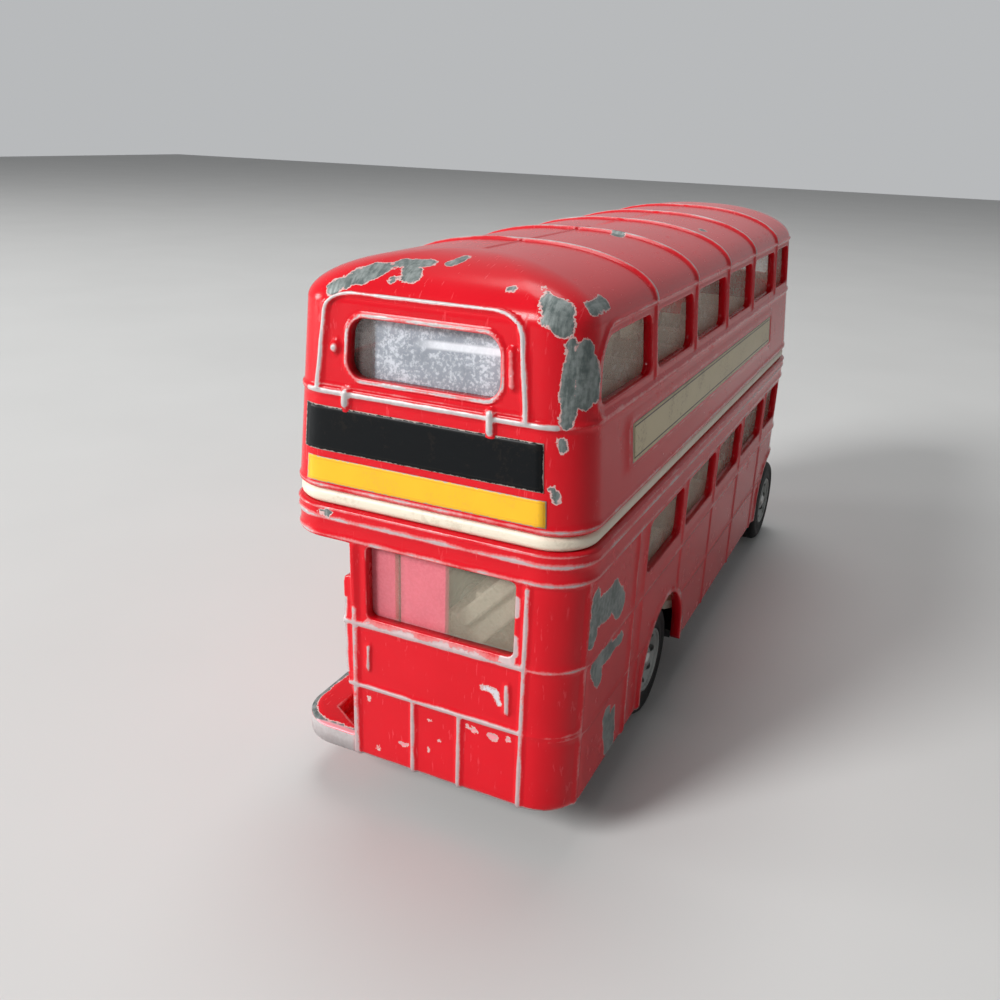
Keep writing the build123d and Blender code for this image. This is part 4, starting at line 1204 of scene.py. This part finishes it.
# %% Lower saloon with its stairs and handrail
low_deck_low = Vector(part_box("lower_deck_moulding")[0]) / MM
TREAD_Z = low_deck_low.z + FLOOR_THICK
wheel_boxes = [((REAR_AXLE - ARCH_R, REAR_AXLE + ARCH_R), tuple(sorted((side * 11.0, side * 20.0))))
               for side in (-1, 1)]
platform_box = ((REAR_X - 2, PLATFORM_FRONT + WALL + 0.05), (STAIR_Y, 20.0))
saloon_floor = floor_sheet("saloon_floor", TREAD_Z, WALL + 0.05, PILLARS[-1],
                           wheel_boxes + [platform_box])
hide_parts("lower_deck_moulding")
finish_piece(join("lower_seats", seat_rows(REAR_AXLE + ARCH_R + 4.0, 4, TREAD_Z)), CREAM)
teeth = [(STAIR_Y, TREAD_Z - 0.7)]
for step in range(STEPS):
    teeth += [(STAIR_Y - step * RUN, TREAD_Z + (step + 1) * RISE),
              (STAIR_Y - (step + 1) * RUN, TREAD_Z + (step + 1) * RISE)]
teeth += [(STAIR_TOP_Y, TREAD_Z + STEPS * RISE - 4.0), (STAIR_Y - 4.0, TREAD_Z - 0.7)]
finish_piece(drawn_out("stairs", teeth, 0.35, STAIR_X, True), CREAM)
slant = Vector((-RUN, RISE)).normalized()
across = Vector((RISE, RUN)).normalized()
rail_at = Vector((-7.1, 30.2))
rail = [rail_at + slant * far + across * near
        for far, near in ((-6.5, -1), (6.5, -1), (6.5, 1), (-6.5, 1))]
finish_piece(drawn_out("handrail", rail, 1.0, (-56.25, -54.75), True, 0.35), CREAM)

# %% [markdown]
# ## Clear glazing
# Each deck has one clear insert behind its windows. After years of play it is scuffed and
# cloudy, most of all at the back, where it looks almost silver. Its alpha carries the cloud.

# %% Glazing


def cloudy_plastic(name):
    finish = Finish(name, Specular_IOR_Level=0.5, IOR=1.49)
    cloud = finish.noise(0.30, 4.0, 0.65)
    scuff = finish.noise(2.4, 4.0, 0.7)
    streaks = finish.noise(0.6, 3.0, 0.7, finish.stretched((0.6, 0.5, 2.4)))
    x, y, z = finish.parts()
    # The pane of the emergency door is the cloudiest, but for a clear strip on its left
    rear = finish.step(x, -56.0, -58.0)
    door = rear * finish.step(z, 45.0, 47.0) * finish.step(y, 7.2, 6.4)
    specks = finish.step(scuff + (cloud - 0.5) * 0.7, 0.50, 0.66)
    # A level band across the right of the door pane is a painted highlight: a pale painted
    # reflection laid over the cloud.
    painted_highlight_band = finish.step(finish.math("ABSOLUTE", z - 57.6 + y * 0.02), 0.60, 0.20) * \
        finish.step(y, 2.5, -1.0) * door
    # The side panes are beige and hazier. This is partly yellowed plastic and partly painted light
    # that stands for the lit inside seen through them.
    beige_age_and_painted_light = finish.blend(cloud, (0.62, 0.56, 0.44, 1), (0.84, 0.78, 0.64, 1))
    silver = finish.blend(cloud, (0.15, 0.17, 0.20, 1), (0.46, 0.50, 0.56, 1))
    colour = finish.blend(rear, beige_age_and_painted_light, silver)
    colour = finish.blend(finish.most(specks * (0.20 + door * 0.30), painted_highlight_band * 0.9), colour,
                          (0.80, 0.83, 0.88, 1))
    # The strip at the left of the door pane is painted dark brown and made less clear: painted
    # shade for the shaded reveal and the dim inside seen through the clearer plastic there
    painted_reveal_shade = rear * finish.step(z, 45.0, 47.0) - door
    colour = finish.blend(painted_reveal_shade * 0.9, colour, (0.09, 0.06, 0.05, 1))
    # The lower pane is tinted olive and made hazier. Over its left part a pink-red painted light
    # stands for the lit platform wall close behind it, with a line of painted shade where that
    # wall's slot is
    low = rear * finish.step(z, 45.0, 43.0)
    painted_slot_shade = finish.step(finish.math("ABSOLUTE", y - 3.75), 0.42, 0.28)
    painted_wall_light = low * finish.step(y, -2.6, -2.2) * (1 - painted_slot_shade * 0.8)
    colour = finish.blend(low, colour, (0.40, 0.37, 0.28, 1))
    colour = finish.blend(painted_wall_light, colour, (0.88, 0.22, 0.27, 1))
    alpha = 0.03 + cloud * 0.12 + specks * 0.06 + finish.step(streaks, 0.60, 0.75) * 0.05
    alpha = finish.most(alpha + (1 - rear) * 0.16 + low * 0.22, door * (0.74 + cloud * 0.3))
    alpha = finish.most(finish.most(alpha, painted_reveal_shade * 0.72), painted_wall_light * (0.52 + cloud * 0.2))
    return finish.feed(Base_Color=colour, Alpha=alpha, Roughness=0.12 + scuff * 0.3,
                       Normal=finish.bump(scuff, 0.04, 0.3))


CLOUDY = cloudy_plastic("cloudy_clear_plastic")
GLASS, GLASS_LAP, SEAT_GAP = 0.8, 0.9, 0.05


def inset(wall, depth):
    return lambda s, v: wall(s, v) - outward(wall, s, v) * depth


def pane(name, wall, s_range, v_range, loop, replaces=()):
    """Clear sheet behind the wall, between two stations and behind a row of windows."""
    s_lines = band_s[(band_s > s_range[0]) & (band_s < s_range[1])]
    made = casting(name, inset(wall, WALL + SEAT_GAP), s_lines,
                   np.linspace(v_range[0] - GLASS_LAP, v_range[1] + GLASS_LAP, 9),
                   no_opening, Relief, thick=GLASS, loop=loop)
    finish_piece(made, CLOUDY, replaces=replaces)


pane("upper_pane", upper_wall, ROUND, UP_WINDOW, True, ("upper_glazing",))
pane("lower_pane_right", lower_wall, (WALL - PLATFORM_WALL_Y + 0.1, FULL + 0.1),
     LOW_REAR_WINDOW[1], False, ("lower_glazing",))
pane("lower_pane_left", lower_wall,
     (-s_at_x(CAB_BACK) + 0.1, -s_at_x(PLATFORM_FRONT + WALL) - 0.1), LOW_WINDOW, False)

# %% [markdown]
# ## Labels
# The stickers are plain: a black one and a yellow one across the back, and a long pale one
# on each side with a thin dark line just inside its edge. Each is a thin sheet bent round
# the wall, with numbers stored on it that say how far a point is from the label's middle.

# %% Sticker material and sheet


def sticker(name, ranges, field, line, inset_mm, line_mm, aged):
    """Printed paper with a thin line near its edge, and brown with age as far as aged says."""
    finish = Finish(name, Specular_IOR_Level=0.12)
    half_s, half_v = [(high - low) / 2 for low, high in ranges]
    edge = finish.least(half_s - finish.math("ABSOLUTE", finish.attribute("along")),
                        half_v - finish.math("ABSOLUTE", finish.attribute("rise")))
    cloud = finish.noise(0.25, 3.0)
    grain = finish.noise(2.4, 3.0, 0.65)
    keyline = finish.step(edge, inset_mm, inset_mm + 0.05) \
        * finish.step(edge, inset_mm + line_mm + 0.05, inset_mm + line_mm)
    frayed = finish.step(edge + (grain - 0.5) * 0.5, 0.10, 0.04)
    tone = finish.blend(cloud, field, tuple(0.85 * value for value in field[:3]) + (1,))
    tone = finish.blend(finish.step(grain + (cloud - 0.5), 0.60, 0.72) * aged, tone,
                        (0.30, 0.20, 0.12, 1))
    tone = finish.blend(keyline, tone, line)
    return finish.feed(Base_Color=finish.blend(frayed, tone, (0.45, 0.38, 0.34, 1)),
                       Roughness=0.22 + grain * 0.2, Normal=finish.bump(grain, 0.03, 0.3))


def label(name, s_range, v_range, material):
    """Thin sheet that follows the wall between two stations and two heights."""
    s_lines = np.linspace(*s_range, max(12, int((s_range[1] - s_range[0]) / 0.9)))
    v_lines = np.linspace(*v_range, 12)
    made = casting(name, inset(upper_wall, -0.10), s_lines, v_lines, no_opening, Relief,
                   thick=0.08, loop=False)
    s, v = (grid.ravel() for grid in np.meshgrid(s_lines, v_lines, indexing="ij"))
    # The outer grid comes first and the inner one after it, in the same order
    for key, values in (("along", s - sum(s_range) / 2), ("rise", v - sum(v_range) / 2)):
        store(made.data, key, np.concatenate([values, values]))
    finish_piece(made, material)


# %% Stick them on
BLACK_SIGN = ((-15.8, 14.0), (44.7, 49.75))
YELLOW_SIGN = ((-15.1, 14.3), (41.0, 43.9))
BANNER = ((s_at_x(-45.0), s_at_x(31.3)), (44.2, 48.7))


label("black_sign", *BLACK_SIGN, sticker("black_sticker", BLACK_SIGN, (0.004, 0.005, 0.006, 1),
                                         (0.01, 0.01, 0.01, 1), 0.3, 0.1, 0.02))
label("yellow_sign", *YELLOW_SIGN, sticker("yellow_sticker", YELLOW_SIGN, (0.92, 0.50, 0.03, 1),
                                           (0.75, 0.36, 0.03, 1), 0.25, 0.08, 0.10))
aged_paper = sticker("aged_sticker", BANNER, (0.66, 0.56, 0.36, 1), (0.05, 0.04, 0.03, 1),
                     0.35, 0.18, 0.45)
label("banner_right", *BANNER, aged_paper)
label("banner_left", (-BANNER[0][1], -BANNER[0][0]), BANNER[1], aged_paper)

# %% [markdown]
# ## Wheels
# A wheel is a silver plastic hub pressed into a black tyre. The hub's face is the grid
# builder again: its wall is a disc named by angle and radius, and its round holes are
# openings. The tyre is a profile turned about the axle.

# %% Turning
WHEEL_R, HUB_R, TYRE_W = 8.1, 4.6, 5.0


def turned(name, profile, x, z, side, segments=96, closed=True, along_x=False):
    """Turn a profile of (radius, distance out from y = 0) about a line along y, or along x."""
    angles = np.linspace(0, 2 * math.pi, segments, endpoint=False)
    profile = np.array(profile)
    radius = profile[None, :, 0] + 0 * angles[:, None]
    points = np.stack([x + radius * np.cos(angles)[:, None],
                       side * profile[None, :, 1] + 0 * radius,
                       z + radius * np.sin(angles)[:, None]], axis=-1)
    if along_x:
        points = points[..., [1, 2, 0]] + [0, x - z, z - x]
    ids = np.arange(segments * len(profile)).reshape(segments, -1)
    ids = np.vstack([ids, ids[:1]])
    if closed:
        ids = np.column_stack([ids, ids[:, 0]])
    quads = np.stack([ids[:-1, :-1], ids[:-1, 1:], ids[1:, 1:], ids[1:, :-1]], -1).reshape(-1, 4)
    return mesh_object(name, points.reshape(-1, 3), quads[:, ::-1] if side > 0 else quads)


def rubber(name):
    finish = Finish(name, Specular_IOR_Level=0.2)
    cloud, grain = finish.noise(0.3, 3.0), finish.noise(2.2, 3.0, 0.6)
    dust = finish.step(grain + (cloud - 0.5) * 0.8, 0.52, 0.78)
    colour = finish.blend(dust * 0.5, (0.006, 0.006, 0.006, 1), (0.045, 0.042, 0.038, 1))
    return finish.feed(Base_Color=colour, Roughness=0.45 + grain * 0.3,
                       Normal=finish.bump(grain, 0.05, 0.4))


def silver_plastic(name):
    finish = Finish(name, Specular_IOR_Level=0.5)
    cloud, grain = finish.noise(0.5, 2.0), finish.noise(3.0, 3.0, 0.6)
    tarnish = finish.step(cloud + (grain - 0.5) * 0.6, 0.50, 0.75)
    colour = finish.blend(tarnish * 0.6, (0.27, 0.28, 0.27, 1), (0.09, 0.09, 0.085, 1))
    return finish.feed(Base_Color=colour, Metallic=0.5 - tarnish * 0.3,
                       Roughness=0.40 + grain * 0.2, Normal=finish.bump(grain, 0.04, 0.3))


def steel(name):
    finish = Finish(name, Specular_IOR_Level=0.5)
    grain = finish.noise(4.0, 3.0, 0.6)
    colour = finish.blend(grain, (0.30, 0.30, 0.30, 1), (0.55, 0.54, 0.52, 1))
    return finish.feed(Base_Color=colour, Metallic=0.9 - grain * 0.1,
                       Roughness=0.25 + grain * 0.2, Normal=finish.bump(grain, 0.03, 0.3))


RUBBER, SILVER = rubber("black_rubber"), silver_plastic("silver_plastic")
STEEL = steel("axle_steel")

# %% Wheel parts


def tyre_profile(outer, width):
    """Round shoulders, two shallow grooves in the tread, and a raised ring on each face."""
    middle = (outer + (outer - width)) / 2
    face = [(radius, outer - deep) for radius, deep in (
        (HUB_R, 0.5), (HUB_R + 0.25, 0.15), (5.1, 0.10), (5.6, 0.28), (6.4, 0.28), (6.8, 0.06),
        (7.2, 0.10), (7.6, 0.30), (7.92, 0.62), (WHEEL_R, 1.05))]
    tread = [(WHEEL_R - deep, middle + off) for deep, off in (
        (0, 0.75), (0.22, 0.68), (0.22, 0.42), (0, 0.35))]
    half = face + tread
    return half + [(radius, 2 * middle - y) for radius, y in reversed(half)]


def hub_face(x, z, side, outer):
    """Dished disc named by angle (as millimetres on the ring of holes) and radius."""
    def wall(s, v):
        angle = -s / HOLE_RING * side
        dish = 0.75 * np.exp(-((v - 2.7) / 0.95) ** 4) + 0.12 * np.exp(-((v - 1.1) / 0.3) ** 2)
        y = outer - 0.35 - dish
        return np.stack([x - v * np.cos(angle), side * y + 0 * s, z + v * np.sin(angle)], axis=-1)
    return wall


HOLE_RING, HOLE_R, HOLES = 3.0, 0.72, 8


def hub_holes(s, v):
    pitch = 2 * math.pi * HOLE_RING / HOLES
    across = np.mod(s + pitch / 2, pitch) - pitch / 2
    return np.hypot(across * np.maximum(v, 1) / HOLE_RING, v - HOLE_RING) - HOLE_R


def make_wheel(end, hand, body, x, z, side, outer):
    tyre = turned(end + "_tyre_piece_" + hand, tyre_profile(outer, TYRE_W), x, z, side)
    finish_piece(tyre, RUBBER, body, (end + "_tyre_" + hand,))
    around_ring = np.linspace(0, 2 * math.pi * HOLE_RING, 120, endpoint=False)
    face = casting(end + "_hub_piece_" + hand, hub_face(x, z, side, outer), around_ring,
                   np.linspace(0.15, HUB_R, 30), hub_holes, Relief, thick=1.0, lip=0.1)
    finish_piece(face, SILVER, body, (end + "_hub_" + hand,))
    rim = [(HUB_R + out, outer - deep) for out, deep in (
        (-0.45, 0.42), (-0.38, 0.15), (-0.1, 0.08), (0.05, 0.25), (0.05, TYRE_W - 0.6),
        (-0.45, TYRE_W - 0.6))]
    finish_piece(turned(end + "_hub_rim_" + hand, rim, x, z, side), SILVER, body)
    cap = [(out, outer - deep) for out, deep in (
        (0.0, 0.05), (0.45, 0.08), (0.85, 0.22), (1.05, 0.45), (1.05, 0.7), (0.0, 0.7))]
    finish_piece(turned(end + "_pin_head_" + hand, cap, x, z, side, 40, False), STEEL, body)


for end, axle_x in (("rear", REAR_AXLE), ("front", FRONT_AXLE)):
    for side, hand in ((1, "left"), (-1, "right")):
        low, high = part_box(end + "_tyre_" + hand)
        outer = max(abs(low[1]), abs(high[1])) / MM
        make_wheel(end, hand, end + "_wheels", axle_x, AXLE_Z, side, outer)


def paint_node(node, material):
    """Give a CAD piece that keeps its own shape a material."""
    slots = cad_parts[node].data.materials
    slots.clear()
    slots.append(material)


paint_node("front_axle", STEEL)
paint_node("rear_axle", STEEL)

# %% [markdown]
# ## Base, grille and lamps
# The base is black plastic and keeps its CAD shape, with rivet heads where it is fixed to the
# castings. The plated grille is the front wall's own shape, a hair's breadth proud, with
# upright bars. One lamp sits on the front wall in the same way, the other is turned.

# %% Base
paint_node("base_plate", moulded("black_plastic", (0.016, 0.016, 0.017, 1),
                                 (0.060, 0.055, 0.050, 1), 0.38, 0.3))

# %% Grille and lamps


def plated(name):
    finish = Finish(name, Specular_IOR_Level=0.5)
    grain = finish.noise(3.0, 3.0, 0.6)
    crest = finish.step(finish.attribute("worn") + (grain - 0.5) * 0.5, 0.25, 0.45)
    colour = finish.blend(crest, (0.02, 0.02, 0.022, 1), (0.70, 0.70, 0.71, 1))
    return finish.feed(Base_Color=colour, Metallic=crest * 0.9,
                       Roughness=0.5 - crest * 0.33 + grain * 0.1,
                       Normal=finish.bump(grain, 0.03, 0.2))


PLATED = plated("plated_plastic")
GRILLE_Y, GRILLE_Z, GRILLE_BARS = (3.25, 10.65), (9.4, 22.4), 9
GRILLE_S = (-s_at_front(GRILLE_Y[0]), -s_at_front(GRILLE_Y[1]))


def grille_relief(s, v):
    form = Relief(s, v)
    edge = box_distance(s, v, GRILLE_S, GRILLE_Z, 1.2)
    form.bead(edge + 0.40, 0.40, 0.32, 1.0)
    pitch = (GRILLE_S[1] - GRILLE_S[0] - 1.4) / (GRILLE_BARS + 1)
    across = np.mod(s - GRILLE_S[0] - 0.7 + pitch / 2, pitch) - pitch / 2
    form.bead(across, 0.22, 0.24, 1.0, edge < -0.7)
    return form


def front_piece(name, s_range, v_range, corner, relief, step):
    """Thin plate with round corners on the front wall."""
    plate = sheet(name, inset(lower_wall, -0.03), s_range, v_range, (0.10, step),
                  lambda s, v: -box_distance(s, v, s_range, v_range, corner), relief, thick=0.3,
                  lip=0.05)
    return finish_piece(plate, PLATED)


grille = front_piece("grille_piece", GRILLE_S, GRILLE_Z, 1.2, grille_relief, 0.35)
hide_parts("radiator_grille")
LAMP_R, LAMP_Z, LAMP_S = 1.7, 14.0, s_at_front(12.0)


def lamp_relief(s, v):
    """A ring round a domed glass."""
    form = Relief(s, v)
    off = np.hypot(s - LAMP_S, v - LAMP_Z)
    form.bead(off - 1.4, 0.28, 0.30, 1.0)
    form.height = np.maximum(form.height, 0.24 * np.sqrt(np.clip(1 - (off / 1.2) ** 2, 0, 1)))
    form.rub(np.where(off < 1.15, 0.36, 0))
    return form


front_piece("headlamp_right", (LAMP_S - LAMP_R, LAMP_S + LAMP_R),
            (LAMP_Z - LAMP_R, LAMP_Z + LAMP_R), LAMP_R - 0.05, lamp_relief, 0.16)
# The other lamp stands on the wing, beside the bonnet
bullet = [(0.0, 55.9), (0.6, 55.86), (1.1, 55.7), (1.35, 55.45), (1.45, 55.62), (1.68, 55.55),
          (1.7, 55.2), (1.55, 54.4), (1.1, 53.5), (0.5, 52.95), (0.0, 52.8)]
left_lamp = turned("headlamp_left", bullet, 14.1, 19.1, 1, 48, False, along_x=True)
store(left_lamp.data, "worn", np.ones(len(left_lamp.data.vertices)))
finish_piece(left_lamp, PLATED)

# %% [markdown]
# ## Light and floor
# Three soft lamps: the strongest stands behind the toy on its left, where the sun stood, a low
# one lights the platform's side, and a weak one hangs over the roof. A pale world fills the
# rest. The floor is a plain pale sheet that keeps the toy's shadow.

# %% Floor, world and lamps
FLOOR_HALF = 1.5


def make_floor():
    corners = [(x * FLOOR_HALF, y * FLOOR_HALF, 0) for x, y in ((-1, -1), (1, -1), (1, 1), (-1, 1))]
    mesh = bpy.data.meshes.new("floor")
    mesh.from_pydata(corners, [], [(0, 1, 2, 3)])
    floor = new_object("floor", mesh)
    surface = Finish("pale_floor", Roughness=0.6)
    shade = surface.noise(0.02, 3.0)
    mesh.materials.append(surface.feed(
        Base_Color=surface.blend(shade, (0.60, 0.60, 0.59, 1), (0.66, 0.66, 0.65, 1))))


def make_lamp(name, place_mm, aim_mm, size_mm, power):
    data = bpy.data.lights.new(name, "AREA")
    data.shape, data.size, data.energy = "DISK", size_mm * MM, power
    lamp = new_object(name, data)
    lamp.location = Vector(place_mm) * MM
    aim = Vector(aim_mm) * MM - lamp.location
    lamp.rotation_euler = aim.to_track_quat("-Z", "Y").to_euler()


make_floor()
make_lamp("window_lamp", (-950, 560, 680), (-20, 0, 30), 420, 15.0)
make_lamp("low_lamp", (-420, 1000, 190), (-10, 0, 35), 320, 5.0)
make_lamp("ceiling_lamp", (250, 150, 900), (0, 0, 30), 500, 3.0)


def make_world():
    """Soft grey light, and a pale backdrop for the camera and for reflections."""
    world = bpy.data.worlds.new("studio")
    bpy.context.scene.world = world
    world.use_nodes = True
    tree = world.node_tree
    path = tree.nodes.new("ShaderNodeLightPath")
    seen = None
    for ray in ("Is Camera Ray", "Is Glossy Ray", "Is Transmission Ray"):
        socket = path.outputs[ray]
        if seen is not None:
            most = tree.nodes.new("ShaderNodeMath")
            most.operation = "MAXIMUM"
            tree.links.new(seen, most.inputs[0])
            tree.links.new(socket, most.inputs[1])
            socket = most.outputs[0]
        seen = socket
    strength = tree.nodes.new("ShaderNodeMapRange")
    strength.inputs["To Min"].default_value = WORLD_LIGHT
    strength.inputs["To Max"].default_value = BACKDROP
    tree.links.new(seen, strength.inputs["Value"])
    background = tree.nodes["Background"]
    background.inputs["Color"].default_value = (0.96, 0.98, 1.0, 1)
    tree.links.new(strength.outputs[0], background.inputs["Strength"])


WORLD_LIGHT, BACKDROP = 0.15, 0.50
make_world()
bpy.context.scene.view_settings.view_transform = "Standard"
